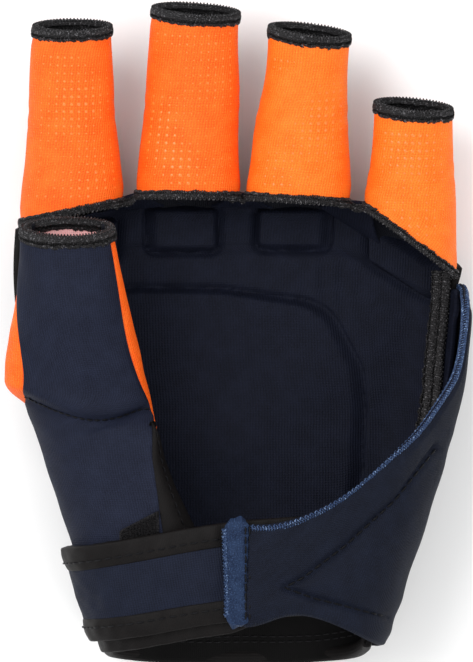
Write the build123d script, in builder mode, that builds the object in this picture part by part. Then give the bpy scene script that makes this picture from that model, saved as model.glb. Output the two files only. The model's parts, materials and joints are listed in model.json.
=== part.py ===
"""A padded field hockey glove for the left hand, lying on its back with the open palm up.

+Z is up, out of the palm. +Y runs from the cuff to the fingertips and +X from the thumb side to the
little finger side. The origin is on the floor, under the middle of the glove. Lengths are in millimetres.
The back of the hand is a tray of laminated fabric with foam pads under it. Four open finger sleeves and
a thumb sleeve are sewn to its front and left, and two straps close the cuff over the wrist.
"""

from build123d import *
from math import cos, radians, sin, tan
import os

# Laminated fabric, foam and binding
WALL = 2.2  # laminate of the tray, the side panels and the cuff
SLEEVE_WALL = 1.4  # knitted sleeves of the fingers and thumb
PAD_DEPTH = 6.5  # a pad with its cover, from the floor up
COVER_WALL = 1.0  # moulded skin over a foam core
GAP = 0.3  # clearance between pieces that only touch
TOUCH = 0.05  # clearance between layers that are sewn flat on each other
BINDING_PROUD = 0.8  # how far a binding stands out of the fabric that it covers
BINDING_INSIDE = 0.5  # how far it reaches past the inner face
BIG = 200.0  # longer than the glove, for cutting tools

# The tray: cross-sections as (y, left, right, bottom, top, corner radius)
TRAY_BOTTOM = 6.8
HAND_SECTIONS = [
    (-94.0, -38.3, 37.5, 4.6, 44.0, 16.0),
    (-62.0, -47.8, 49.5, TRAY_BOTTOM, 47.0, 18.0),
    (-22.0, -60.0, 61.5, TRAY_BOTTOM, 46.0, 19.0),
    (10.0, -64.5, 65.3, TRAY_BOTTOM, 40.0, 16.0),
    (38.0, -64.0, 64.5, TRAY_BOTTOM, 33.0, 12.5),
]
TRAY_RIM = 16.0  # height of the tray's edge
SIDE_RIM = 30.0  # height of the side panel's and the cuff's edge
CUFF_START = -62.0  # the cuff is all that lies behind this line
CUFF_HEM = -90.5  # where the cuff's binding begins

# Fingers. The root line is the sewn edge of the sleeve on the palm side, left end then right end.
JOINT_HEIGHT = 19.0  # axis of each finger's root joint
ROOT_RISE, TIP_RISE = 6.0, 15.0  # slope of the two segments at rest, degrees
ROOT_TALL, MIDDLE_TALL, TIP_TALL = 25.0, 22.5, 20.0  # height of a sleeve along its length
FINGERS = {
    "index": dict(
        root=(-48.0, 37.0), tip_x=-47.7, lengths=(26.0, 25.5), widths=(29.5, 25.5, 22.6),
        root_line=((-63.5, 31.2), (-32.5, 37.8)), pad=19.0, seam_lift=1.5,
    ),
    "middle": dict(
        root=(-14.2, 38.5), tip_x=-11.8, lengths=(27.5, 28.0), widths=(30.0, 27.5, 25.2),
        root_line=((-29.5, 39.6), (1.3, 39.2)), pad=21.0,
    ),
    "ring": dict(
        root=(17.7, 38.0), tip_x=21.2, lengths=(25.0, 25.0), widths=(30.2, 26.2, 23.6),
        root_line=((2.4, 39.2), (33.2, 37.2)), pad=20.0,
    ),
    "little": dict(
        root=(50.2, 26.0), tip_x=51.4, lengths=(20.0, 20.0), widths=(28.0, 24.8, 22.5),
        root_line=((36.0, 37.4), (65.0, 15.6)), pad=18.0,
    ),
}
FINGER_FLEX = 55.0  # a sleeve's middle joint, degrees
NOTCH_SPARE = 2.0  # extra opening of a notch, degrees
SLEEVE_START = 14.0  # how far the sleeve's loft runs behind the root joint
TIP_BINDING, ROOT_BINDING = 4.0, 2.3  # width of the overlocked edges
FINGER_PAD_THICK = 5.6
FINGER_PAD_INSET = 2.2  # from the pad's end to the nearest joint
FINGER_PAD_CORNER, PAD_EDGE = 3.0, 2.0  # corner radius in plan, and round the lower edge

# Thumb: cross-sections as (y, left, right, middle height, height of the sleeve)
THUMB_SECTIONS = [
    (-30.0, -65.0, -22.5, 32.0, 28.0),
    (-20.0, -66.6, -24.8, 34.5, 26.0),
    (6.0, -64.6, -30.2, 41.0, 23.0),
    (31.0, -63.2, -34.2, 47.0, 20.0),
]
THUMB_JOINT = (-22.0, 34.0)  # y and z of the thumb's joint
THUMB_FLEX = 45.0
THUMB_X, THUMB_REACH = -48.0, 40.0  # middle of the thumb's joint, and half the width of its notch
OPEN_SLOPE = 80.0  # slope of a notch's far face where the other piece lies wholly beyond it
THUMB_RISE = 14.0  # slope of the thumb sleeve, degrees
THUMB_HEM = 26.5  # where its rim binding begins, measured on its centre line
GUSSET_HALF = 4.5  # half the height of the two orange gussets
THENAR = dict(front=-24.0, back=-61.7, right=-24.0)  # the panel over the ball of the thumb
THUMB_PAD = dict(wide=22.0, long=34.0, corner=6.0, thick=5.0, past_joint=22.0, left=1.5)

# Pads under the tray, as outlines in plan with a corner radius
METACARPAL_PAD = ([(-45, 12), (14, 12), (36, -6), (36, -44), (27, -59), (-26, -59), (-45, -26)], 9.0)
KNUCKLE_PADS = {
    "index": ([(-60, 18.5), (-34, 20.5), (-34, 34), (-60, 29)], 2.5),
    "middle": ([(-27, 23), (-4, 23), (-4, 36.5), (-27, 36.5)], 2.5),
    "ring": ([(5, 23.5), (28, 23.5), (28, 36), (5, 36)], 2.5),
    "little": ([(36.5, 18.5), (56.5, 5.5), (57.5, 14), (50, 23.5), (36.5, 23.5)], 2.5),
}

# Straps: outlines in plan, sewn at the left and the right edge of the wrist
THUMB_STRAP = dict(top=[(-60, -71.5), (-3, -62), (21, -60)], bottom=[(21, -75.5), (-3, -77.5), (-60, -86)])
THUMB_STRAP_BINDING = 6.3
THUMB_STRAP_LAYER = (1.2, 3.2)  # distance of its two faces from the hand's loft
STRAP_ROOT = 30.6  # height of both straps' joints, where they leave their sewn-on bases
STRAP_BASE = 15.0  # lower edge of the bases
WRAP_FREE_EDGE = [
    (-2.7, -55.5), (10, -56.4), (21, -53.2), (33, -46.2), (46, -35),
    (55.5, -26), (62, -16), (66, -3), (69.5, 9.5),
]
WRAP_LOWER_EDGE = [(52, -93), (40, -88.8), (33, -85.4), (24, -82), (15, -81), (4, -84.6), (-2.7, -83.2)]
WRAP_SIDE, WRAP_TOP = (0.3, 2.5), (5.0, 7.2)  # the same for the wrap strap, beside and over the hand
WRAP_HEM = 6.0  # folded end of the wrap strap
WRAP_OVERLOCK = 1.5
HOOK_DEPTH = 0.7  # hook and loop tape


def finish(name, part):
    """Labels a finished piece and writes its STEP file."""
    part.label = name
    export_step(part, f"parts/{name}.step")


def hand_volume(side, top):
    """The hand's loft, grown by side at the left, right and bottom, and by top upwards."""
    with BuildPart() as volume:
        for y, left, right, bottom, height, radius in HAND_SECTIONS:
            low, high = bottom - side, height + top
            centre = ((left + right) / 2, y, (low + high) / 2)
            with BuildSketch(Plane(origin=centre, x_dir=(1, 0, 0), z_dir=(0, -1, 0))):
                RectangleRounded(right - left + 2 * side, high - low, radius + side)
        loft()
    return volume.part


def block(x, y, z):
    """A cutting block between three pairs of limits."""
    with BuildPart() as box:
        with Locations((sum(x) / 2, sum(y) / 2, sum(z) / 2)):
            Box(x[1] - x[0], y[1] - y[0], z[1] - z[0])
    return box.part


def plan_prism(points, low, high, radius=0.0):
    """An outline in plan, extruded between two heights."""
    with BuildPart() as prism:
        with BuildSketch(Plane.XY.offset(low)) as outline:
            with BuildLine():
                Polyline(points, close=True)
            make_face()
            if radius:
                fillet(outline.vertices(), radius)
        extrude(amount=high - low)
    return prism.part


def layer(inner, outer, *keeps, away=()):
    """What lies between two volumes, inside every keep and outside every away."""
    with BuildPart() as piece:
        add(outer)
        add(inner, mode=Mode.SUBTRACT)
        for keep in keeps:
            add(keep, mode=Mode.INTERSECT)
        for tool in away:
            add(tool, mode=Mode.SUBTRACT)
    return piece.part


def notch(centre, above, below, gap, half_width):
    """A V over a joint's axis and a slit under it: above and below are the slopes of its two faces."""
    x, y, z = centre
    reach = 30.0
    with BuildPart() as cutter:
        with BuildSketch(Plane(origin=(x - half_width, y, z), x_dir=(0, 1, 0), z_dir=(1, 0, 0))):
            with BuildLine():
                Polyline(
                    (-gap / 2, -reach),
                    (-gap / 2, 0),
                    (-reach * tan(radians(above)), reach),
                    (reach * tan(radians(below)), reach),
                    (gap / 2, 0),
                    (gap / 2, -reach),
                    close=True,
                )
            make_face()
        extrude(amount=2 * half_width)
    return cutter.part


# ---------------------------------------------------------------- the hand

SKIN_IN = hand_volume(-WALL, -WALL)
SKIN_OUT = hand_volume(0, 0)
FRONT_EDGE = [
    (-BIG, -BIG), (-BIG, 26), (-56, 26), (-46, 33), (-34, 35.5), (34.5, 36.5),
    (40.5, 33), (40.5, 25.2), (56, 25.2), (60, 12.5), (BIG, 11), (BIG, -BIG),
]
INDEX_WALL = dict(x=(-BIG, -52), y=(4, 25.5), z=(TRAY_RIM, 23.5))  # the low wall beside the index finger
LITTLE_SIDE = (CUFF_START, 10.8)  # the wall along the little finger, from the cuff forwards
SIDE_SEAM = dict(y=(-54, 10), z=(TRAY_RIM - 4, TRAY_RIM + 2), depth=1.6)  # the overlocked seam inside it


def make_tray():
    """The back of the hand, seen through the open palm."""
    front = plan_prism(FRONT_EDGE, 0, TRAY_RIM)
    behind = block((-BIG, BIG), (CUFF_START, BIG), (0, BIG))
    finish("back_liner", layer(SKIN_IN, SKIN_OUT, front, behind))


def make_cuff():
    """A U of black neoprene round the wrist, and the binding of its edge."""
    cuff = block((-BIG, BIG), (CUFF_HEM, CUFF_START), (0, SIDE_RIM))
    finish("cuff_lining", layer(SKIN_IN, SKIN_OUT, cuff))
    hem = block((-BIG, BIG), (HAND_SECTIONS[0][0], CUFF_HEM), (0, SIDE_RIM))
    proud = BINDING_PROUD / 2
    finish(
        "cuff_binding",
        layer(hand_volume(-WALL - proud, -WALL), hand_volume(proud, 0), hem),
    )


def make_side_panels():
    """The walls above the tray's edge: on the little finger's side, the index's and over the thumb's ball."""
    right = block((0, BIG), LITTLE_SIDE, (TRAY_RIM, SIDE_RIM))
    finish("side_panel", layer(SKIN_IN, SKIN_OUT, right))
    finish("index_side_panel", layer(SKIN_IN, SKIN_OUT, block(*INDEX_WALL.values())))
    over = block((-BIG, THENAR["right"]), (THENAR["back"], THENAR["front"]), (TRAY_RIM, BIG))
    y, z = THUMB_JOINT
    room = notch((THUMB_X, y, z), THUMB_FLEX / 2 + NOTCH_SPARE, OPEN_SLOPE, 2 * GAP, THUMB_REACH)
    finish("thumb_base_panel", layer(SKIN_IN, SKIN_OUT, over, away=[room]))


def make_opening_trims():
    """The overlocked seam inside the side panel, the binding by the thumb and the hook patch."""
    outside = hand_volume(-WALL - GAP, -WALL)
    inside = hand_volume(-WALL - SIDE_SEAM["depth"], -WALL)
    finish("side_overlock", layer(inside, outside, block((0, BIG), SIDE_SEAM["y"], SIDE_SEAM["z"])))
    start = THENAR["right"] + GAP
    wedge = [(start, -27), (start + 1.6, -27.5), (start + 7, -45), (start + 11.5, -61.5), (start, -61.5)]
    finish("thumb_crotch_binding", layer(SKIN_IN, SKIN_OUT, plan_prism(wedge, TRAY_RIM, BIG)))
    patch = block((-34, THENAR["right"] - 1), (-60.5, -53), (SIDE_RIM, BIG))
    tape = hand_volume(0, TOUCH), hand_volume(0, TOUCH + HOOK_DEPTH)
    finish("thumb_base_hook_patch", layer(*tape, patch))


def core_prism(outline, radius, inset, top):
    """The foam's shape: the pad's outline drawn in by inset, above the cover's wall."""
    with BuildPart() as prism:
        with BuildSketch(Plane.XY.offset(COVER_WALL)) as core:
            with BuildLine():
                Polyline(outline, close=True)
            make_face()
            fillet(core.vertices(), radius)
            offset(amount=-inset, mode=Mode.REPLACE)
        extrude(amount=top - COVER_WALL)
    return prism.part


def make_pad(name, outline, radius):
    """A foam core in a moulded cover, flat on the floor."""
    with BuildPart() as cover:
        add(plan_prism(outline, 0, PAD_DEPTH, radius))
        fillet(cover.faces().sort_by(Axis.Z)[0].edges(), PAD_EDGE)
        add(core_prism(outline, radius, COVER_WALL + GAP, BIG), mode=Mode.SUBTRACT)
    finish(f"{name}_cover", cover.part)
    finish(f"{name}_foam", core_prism(outline, radius, COVER_WALL + 2 * GAP, PAD_DEPTH))


# ---------------------------------------------------------------- fingers


def finger_frame(spec):
    """The root joint, middle joint and tip of a finger, and the directions of its two segments."""
    (x, y), (root_length, tip_length) = spec["root"], spec["lengths"]
    splay = (spec["tip_x"] - x) / (root_length + tip_length)
    first = Vector(splay, cos(radians(ROOT_RISE)), sin(radians(ROOT_RISE))).normalized()
    second = Vector(splay, cos(radians(TIP_RISE)), sin(radians(TIP_RISE))).normalized()
    root = Vector(x, y, JOINT_HEIGHT)
    middle = root + first * root_length
    return root, middle, middle + second * tip_length, first, second


def finger_volume(spec, grow):
    """The sleeve's outer loft, grown all round."""
    root, middle, tip, first, second = finger_frame(spec)
    wide, mid, narrow = spec["widths"]
    stations = [
        (root - first * SLEEVE_START, first, wide, ROOT_TALL),
        (root, first, wide, ROOT_TALL),
        (middle, (first + second).normalized(), mid, MIDDLE_TALL),
        (tip, second, narrow, TIP_TALL),
    ]
    with BuildPart() as volume:
        for origin, along, width, tall in stations:
            with BuildSketch(Plane(origin=origin, x_dir=(1, 0, 0), z_dir=along)):
                Ellipse(width / 2 + grow, tall / 2 + grow)
        loft()
    return volume.part


def root_regions(spec):
    """What lies in front of the sewn edge, and a strip of the binding's width behind it."""
    left, right = spec["root_line"]
    slope = (right[1] - left[1]) / (right[0] - left[0])
    spare = 20.0
    near = (left[0] - spare, left[1] - spare * slope)
    far = (right[0] + spare, right[1] + spare * slope)
    front = [near, far, (far[0], far[1] + BIG), (near[0], near[1] + BIG)]
    strip = [near, far, (far[0], far[1] - ROOT_BINDING), (near[0], near[1] - ROOT_BINDING)]
    return plan_prism(front, -BIG, BIG), plan_prism(strip, -BIG, BIG)


def beyond_plane(plane):
    """Everything in front of a plane."""
    with BuildPart() as half_space:
        with BuildSketch(plane):
            Rectangle(2 * BIG, 2 * BIG)
        extrude(amount=BIG)
    return half_space.part


def finger_pad(spec, joint, along, length, tall):
    """A pad under one segment of a finger, hollowed to the sleeve that it is sewn to."""
    normal = Vector(1, 0, 0).cross(along).normalized()
    centre = joint + along * (length / 2) - normal * (tall / 2 + FINGER_PAD_THICK)
    with BuildPart() as pad:
        with BuildSketch(Plane(origin=centre, x_dir=(1, 0, 0), z_dir=normal)):
            RectangleRounded(spec["pad"], length - 2 * FINGER_PAD_INSET, FINGER_PAD_CORNER)
        extrude(amount=FINGER_PAD_THICK + tall / 4)
        fillet(pad.faces().sort_by(Axis(centre, normal))[0].edges(), PAD_EDGE)
        add(finger_volume(spec, GAP), mode=Mode.SUBTRACT)
    return pad.part


def make_finger(name, spec):
    """Two sleeve segments with their pads and bindings."""
    root, middle, tip, first, second = finger_frame(spec)
    root_length, tip_length = spec["lengths"]
    wide, _, narrow = spec["widths"]
    outer, inner = finger_volume(spec, 0), finger_volume(spec, -SLEEVE_WALL)
    in_front, strip = root_regions(spec)
    under_root = block((-BIG, BIG), (-BIG, root.Y + 2 * GAP), (-BIG, JOINT_HEIGHT))
    opening = FINGER_FLEX / 2 + NOTCH_SPARE
    bend = notch((middle.X, middle.Y, middle.Z), opening, opening, 2 * GAP, wide)
    before = block((-BIG, BIG), (-BIG, middle.Y), (-BIG, BIG))
    beyond = block((-BIG, BIG), (middle.Y, BIG), (-BIG, BIG))
    hem = Plane(origin=tip - second * (TIP_BINDING - BINDING_PROUD), x_dir=(1, 0, 0), z_dir=second)
    finish(f"{name}_proximal_sleeve", layer(inner, outer, in_front, before, away=[under_root, bend]))
    finish(f"{name}_distal_sleeve", layer(inner, outer, beyond, away=[bend, beyond_plane(hem)]))

    over_joint = block((-BIG, BIG), (-BIG, BIG), (JOINT_HEIGHT + spec.get("seam_lift", 0), BIG))
    edge_in = finger_volume(spec, -SLEEVE_WALL - BINDING_INSIDE)
    edge_out = finger_volume(spec, BINDING_PROUD)
    finish(f"{name}_root_binding", layer(edge_in, edge_out, strip, over_joint))

    with BuildPart() as ring:
        with BuildSketch(hem.offset(GAP / 3)):
            Ellipse(narrow / 2 + BINDING_PROUD, TIP_TALL / 2 + BINDING_PROUD)
            inset = SLEEVE_WALL + BINDING_INSIDE
            Ellipse(narrow / 2 - inset, TIP_TALL / 2 - inset, mode=Mode.SUBTRACT)
        extrude(amount=TIP_BINDING)
        fillet(ring.edges(), 1.0)
    finish(f"{name}_tip_binding", ring.part)

    near_height, far_height = (ROOT_TALL + MIDDLE_TALL) / 2, (MIDDLE_TALL + TIP_TALL) / 2
    finish(f"{name}_proximal_pad", finger_pad(spec, root, first, root_length, near_height))
    finish(f"{name}_distal_pad", finger_pad(spec, middle, second, tip_length - TIP_BINDING, far_height))


# ---------------------------------------------------------------- thumb


def thumb_volume(grow):
    """The thumb sleeve's outer loft, grown all round."""
    along = Vector(0, cos(radians(THUMB_RISE)), sin(radians(THUMB_RISE)))
    with BuildPart() as volume:
        for y, left, right, z, tall in THUMB_SECTIONS:
            with BuildSketch(Plane(origin=((left + right) / 2, y, z), x_dir=(1, 0, 0), z_dir=along)):
                Ellipse((right - left) / 2 + grow, tall / 2 + grow)
        loft()
    return volume.part


def make_thumb():
    """A front panel, two gussets and a padded back, bound at the open end."""
    y, z = THUMB_JOINT
    outer, inner = thumb_volume(0), thumb_volume(-SLEEVE_WALL)
    room = notch((THUMB_X, y, z), OPEN_SLOPE, THUMB_FLEX / 2 + NOTCH_SPARE, 2 * GAP, THUMB_REACH)
    behind = block((-BIG, BIG), (-BIG, y + GAP), (-BIG, BIG))
    start_y, left, right, start_z, _ = THUMB_SECTIONS[1]
    axis = Vector(0, cos(radians(THUMB_RISE)), sin(radians(THUMB_RISE)))
    up = Vector(1, 0, 0).cross(axis)
    base = Vector((left + right) / 2, start_y, start_z)
    hem_centre = base + axis * ((THUMB_HEM - start_y) / cos(radians(THUMB_RISE)))
    hem = Plane(origin=hem_centre, x_dir=(1, 0, 0), z_dir=axis)

    def band(low, high, left, right):
        """A slab along the sleeve between two heights over its centre line."""
        with BuildPart() as slab:
            with BuildSketch(Plane(origin=base + up * low, x_dir=(1, 0, 0), z_dir=up)):
                with Locations(((left + right) / 2, 0)):
                    Rectangle(right - left, BIG)
            extrude(amount=high - low)
        return slab.part

    away = [room, behind, beyond_plane(hem)]
    for name, limits in {
        "thumb_front_panel": (GUSSET_HALF, THUMB_REACH, -BIG, BIG),
        "thumb_outer_gusset": (-GUSSET_HALF, GUSSET_HALF, -BIG, 0),
        "thumb_inner_gusset": (-GUSSET_HALF, GUSSET_HALF, 0, BIG),
        "thumb_back_panel": (-THUMB_REACH, -GUSSET_HALF, -BIG, BIG),
    }.items():
        finish(name, layer(inner, outer, band(*limits), away=away))

    with BuildPart() as rim:
        with BuildSketch(hem.offset(GAP / 3)):
            Rectangle(BIG, BIG)
        extrude(amount=TIP_BINDING)
    rim_in, rim_out = thumb_volume(-SLEEVE_WALL - BINDING_INSIDE), thumb_volume(BINDING_PROUD)
    finish("thumb_rim_binding", layer(rim_in, rim_out, rim.part))
    make_thumb_pad(base, axis, up)


def make_thumb_pad(base, axis, up):
    """The foam core and its cover under the thumb's back panel."""
    wide, length, corner, thick, past_joint, left = THUMB_PAD.values()
    half_sleeve = THUMB_SECTIONS[2][4] / 2
    centre = base + axis * past_joint - Vector(left, 0, 0) - up * (half_sleeve + thick)

    def prism(inset, low):
        """The pad's outline drawn in by inset, from low above its outer face into the sleeve."""
        with BuildPart() as body:
            with BuildSketch(Plane(origin=centre + up * low, x_dir=(1, 0, 0), z_dir=up)):
                RectangleRounded(wide - 2 * inset, length - 2 * inset, corner - inset)
            extrude(amount=thick + GUSSET_HALF - low)
        return body.part

    sleeve = thumb_volume(GAP)
    core_inset = COVER_WALL - GAP
    with BuildPart() as cover:
        add(prism(0, 0))
        add(prism(core_inset, COVER_WALL), mode=Mode.SUBTRACT)
        add(sleeve, mode=Mode.SUBTRACT)
    finish("thumb_pad_cover", cover.part)
    with BuildPart() as foam:
        add(prism(COVER_WALL, COVER_WALL + TOUCH))
        add(sleeve, mode=Mode.SUBTRACT)
    finish("thumb_pad_foam", foam.part)


# ---------------------------------------------------------------- straps


def make_strap_bases():
    """The two straps' fixed ends, sewn to the outside of the cuff and of the side panel."""
    skin = hand_volume(TOUCH, TOUCH)
    height = (STRAP_BASE, STRAP_ROOT - GAP)
    wrap_side, thumb_side = WRAP_SIDE[1], THUMB_STRAP_LAYER[1]
    beside = block((0, BIG), (CUFF_HEM + GAP, LITTLE_SIDE[1] - 2), height)
    finish("wrap_strap_base", layer(skin, hand_volume(wrap_side, wrap_side), beside))
    low = THUMB_STRAP["bottom"][-1][1] - THUMB_STRAP_BINDING / 2
    high = THUMB_STRAP["top"][0][1] + THUMB_STRAP_BINDING / 2
    beside = block((-BIG, 0), (low, high), height)
    finish("thumb_strap_base", layer(skin, hand_volume(thumb_side, thumb_side), beside))


def make_thumb_strap():
    """The band sewn at the thumb side: a panel with two bindings and a loop patch."""
    low, high = THUMB_STRAP_LAYER
    over = block((-BIG, BIG), (-BIG, BIG), (STRAP_ROOT, BIG))
    top, bottom = THUMB_STRAP["top"], THUMB_STRAP["bottom"]
    inner, outer = hand_volume(low, low), hand_volume(high, high)
    finish("thumb_strap_panel", layer(inner, outer, over, plan_prism(top + bottom, 0, BIG)))
    thick_in, thick_out = hand_volume(low - GAP, low - GAP), hand_volume(high + GAP, high + GAP)
    width = THUMB_STRAP_BINDING
    above = [(x, y + width) for x, y in reversed(top)]
    below = [(x, y - width) for x, y in reversed(bottom)]
    for edge, outline in (("top", top + above), ("bottom", bottom + below)):
        finish(f"thumb_strap_{edge}_binding", layer(thick_in, thick_out, over, plan_prism(outline, 0, BIG)))
    patch = block((3, 19.5), (-74.5, -62.5), (STRAP_ROOT, BIG))
    tape = hand_volume(high, high + TOUCH), hand_volume(high, high + TOUCH + HOOK_DEPTH)
    finish("thumb_strap_loop_patch", layer(*tape, patch))


def make_wrap_strap():
    """The strap sewn at the little finger side, which folds over the wrist and ends in a hem."""
    inner = hand_volume(WRAP_SIDE[0], WRAP_TOP[0])
    outer = hand_volume(WRAP_SIDE[1], WRAP_TOP[1])
    over = block((-BIG, BIG), (-BIG, BIG), (STRAP_ROOT, BIG))
    with BuildPart() as outline:
        with BuildSketch(Plane.XY):
            with BuildLine():
                free = Spline(WRAP_FREE_EDGE)
                lower = Spline(WRAP_LOWER_EDGE)
                Polyline(free @ 1, (90, 9.5), (90, -93), lower @ 0)
                Line(lower @ 1, free @ 0)
            make_face()
        extrude(amount=BIG)
    hem = block((-BIG, WRAP_FREE_EDGE[0][0] + WRAP_HEM), (-BIG, BIG), (0, BIG))
    finish("wrap_strap_panel", layer(inner, outer, over, outline.part, away=[hem]))
    thick_in = hand_volume(WRAP_SIDE[0], WRAP_TOP[0] - GAP)
    thick_out = hand_volume(WRAP_SIDE[1] + 2 * GAP, WRAP_TOP[1] + 2 * GAP)
    finish("wrap_strap_end_hem", layer(thick_in, thick_out, over, outline.part, hem))
    with BuildPart() as edge:
        with BuildSketch(Plane.XY):
            with BuildLine():
                near = Spline(WRAP_FREE_EDGE[1:])
                far = Spline([(x - WRAP_OVERLOCK * 0.6, y + WRAP_OVERLOCK) for x, y in WRAP_FREE_EDGE[1:]])
                Line(near @ 0, far @ 0)
                Line(near @ 1, far @ 1)
            make_face()
        extrude(amount=BIG)
    finish("wrap_strap_overlock", layer(inner, thick_out, over, edge.part, away=[hem]))
    patch = block((WRAP_FREE_EDGE[0][0] + WRAP_HEM + GAP, 20), (-75, -61), (STRAP_ROOT, BIG))
    under = WRAP_TOP[0] - TOUCH
    tape = hand_volume(WRAP_SIDE[0], under - HOOK_DEPTH), hand_volume(WRAP_SIDE[0], under)
    finish("wrap_strap_hook_patch", layer(*tape, patch))


os.makedirs("parts", exist_ok=True)
make_tray()
make_cuff()
make_side_panels()
make_opening_trims()
make_pad("metacarpal_pad", *METACARPAL_PAD)
for finger, (outline, corner) in KNUCKLE_PADS.items():
    make_pad(f"{finger}_knuckle_pad", outline, corner)
for finger, data in FINGERS.items():
    make_finger(finger, data)
make_thumb()
make_strap_bases()
make_thumb_strap()
make_wrap_strap()
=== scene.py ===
"""The looks of a left-hand field hockey glove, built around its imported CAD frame.

Shapes are worked out in millimetres, in the frame of the CAD part, and written to meshes in metres.
The glove lies on its back: +Z is out of the palm, +Y runs from the cuff to the fingertips, and +X from
the thumb side to the little finger side.
"""

import json

import bmesh
import bpy
import numpy as np
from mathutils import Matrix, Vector


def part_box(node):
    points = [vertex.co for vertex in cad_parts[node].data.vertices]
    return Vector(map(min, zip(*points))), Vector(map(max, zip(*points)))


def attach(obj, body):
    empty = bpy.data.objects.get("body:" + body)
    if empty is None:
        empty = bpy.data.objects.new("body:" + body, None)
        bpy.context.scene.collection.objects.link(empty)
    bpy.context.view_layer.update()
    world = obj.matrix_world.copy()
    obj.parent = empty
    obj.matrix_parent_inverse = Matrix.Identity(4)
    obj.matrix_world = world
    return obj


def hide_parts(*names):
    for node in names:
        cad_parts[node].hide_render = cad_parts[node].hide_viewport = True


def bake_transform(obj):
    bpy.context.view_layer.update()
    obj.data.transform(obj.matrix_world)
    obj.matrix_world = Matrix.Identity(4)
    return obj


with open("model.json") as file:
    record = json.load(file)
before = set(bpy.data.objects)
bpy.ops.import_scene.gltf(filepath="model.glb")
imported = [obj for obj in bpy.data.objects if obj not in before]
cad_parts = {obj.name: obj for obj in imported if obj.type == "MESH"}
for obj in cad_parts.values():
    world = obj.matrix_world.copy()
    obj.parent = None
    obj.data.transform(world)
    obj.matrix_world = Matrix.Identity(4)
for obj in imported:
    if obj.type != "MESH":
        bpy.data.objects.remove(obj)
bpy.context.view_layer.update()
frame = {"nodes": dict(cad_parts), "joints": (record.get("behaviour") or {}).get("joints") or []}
MM = 0.001
RIGHT, AHEAD, UP = np.eye(3)
JOINTS = {j["name"]: np.array(j["pos_m"]) / MM for j in frame["joints"]}
RANDOM = np.random.default_rng(7)

# The hand's cross-sections, as in the CAD part: (y, left, right, bottom, top, corner radius)
HAND_ROWS = np.array([
    (-94.0, -38.3, 37.5, 4.6, 44.0, 16.0),
    (-62.0, -47.8, 49.5, 6.8, 47.0, 18.0),
    (-22.0, -60.0, 61.5, 6.8, 46.0, 19.0),
    (10.0, -64.5, 65.3, 6.8, 40.0, 16.0),
    (38.0, -64.0, 64.5, 6.8, 33.0, 12.5),
])
LINER_WALL = 2.2

# Finger sleeves: segment lengths, widths and heights along the sleeve, and the sewn edge at the root
ROOT_RISE, TIP_RISE, THUMB_RISE = np.radians((6.0, 15.0, 14.0))
SLEEVE_BACK = 14.0
SLEEVE_TALL = (25.0, 25.0, 21.0, 14.2)
SLEEVE_WALL = 1.4
ROOT_BEND, MIDDLE_BEND = (-8, 9), (-9, 9)  # distances from its joints, passed to bend for a sleeve
FINGERS = {
    "index": dict(tip_x=-47.7, lengths=(26.0, 25.5), widths=(29.5, 29.5, 25.5, 22.6), pad=19.0, tilt=0.0,
                  longer=1.1, root_line=((-63.5, 31.2), (-32.5, 37.8)), cloth="orange"),
    "middle": dict(tip_x=-11.8, lengths=(27.5, 28.0), widths=(30.0, 30.0, 27.5, 25.2), pad=21.0,
                   tilt=-0.035, longer=0.3, root_line=((-29.5, 39.6), (1.3, 39.2)), cloth="orange"),
    # The ring and little sleeves take a lighter, yellower copy of the orange: painted light, for the light
    # that falls more on that side of the glove.
    "ring": dict(tip_x=21.2, lengths=(25.0, 25.0), widths=(30.2, 30.2, 26.2, 23.6), pad=20.0, tilt=-0.06,
                 longer=0.3, root_line=((2.4, 39.2), (33.2, 37.2)), cloth="painted_lit_orange"),
    "little": dict(tip_x=51.4, lengths=(20.0, 20.0), widths=(28.0, 28.0, 24.8, 22.5), pad=18.0, tilt=-0.045,
                   longer=0.3, root_line=((36.0, 37.4), (65.0, 15.6)), cloth="painted_lit_orange"),
}
DOT_SPACING, DOT_RADIUS, DOT_HEIGHT = 2.35, 0.50, 0.10

# Thumb sleeve: (y, left, right, middle height, height of the sleeve)
THUMB_ROWS = np.array([
    (-30.0, -65.0, -22.5, 32.0, 28.0),
    (-20.0, -66.6, -24.8, 34.5, 26.0),
    (6.0, -64.4, -30.6, 41.0, 23.0),
    (31.0, -61.8, -35.9, 47.0, 20.0),
])
THUMB_HEM = 29.4
THUMB_FLARE = np.radians(7.0)  # the mouth turns this much further towards the palm side
THUMB_LINED = 5.0  # y at which the pink lining ends inside the sleeve

# Straps
WRAP_TIP, WRAP_HEM = -2.7, 6.0  # x of the wrap strap's end, and its hem's width
WRAP_SIDE, WRAP_TOP = 2.5, 7.2  # how far it lies off the hand's section beside and above it
BAND_TIP, BAND_LAYER = 21.0, 3.2  # x of the thumb strap's end, and how far it lies off the hand's section
STRAP_BASE = 15.0  # height at which both start beside the cuff
STRAP_BEND = 24, 36  # heights passed to bend for both straps beside the hand


# ---------------------------------------------------------------- geometry


def unit(v):
    return v / np.maximum(np.linalg.norm(v, axis=-1, keepdims=True), 1e-9)


def smooth(t):
    t = np.clip(t, 0, 1)
    return t * t * (3 - 2 * t)


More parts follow.
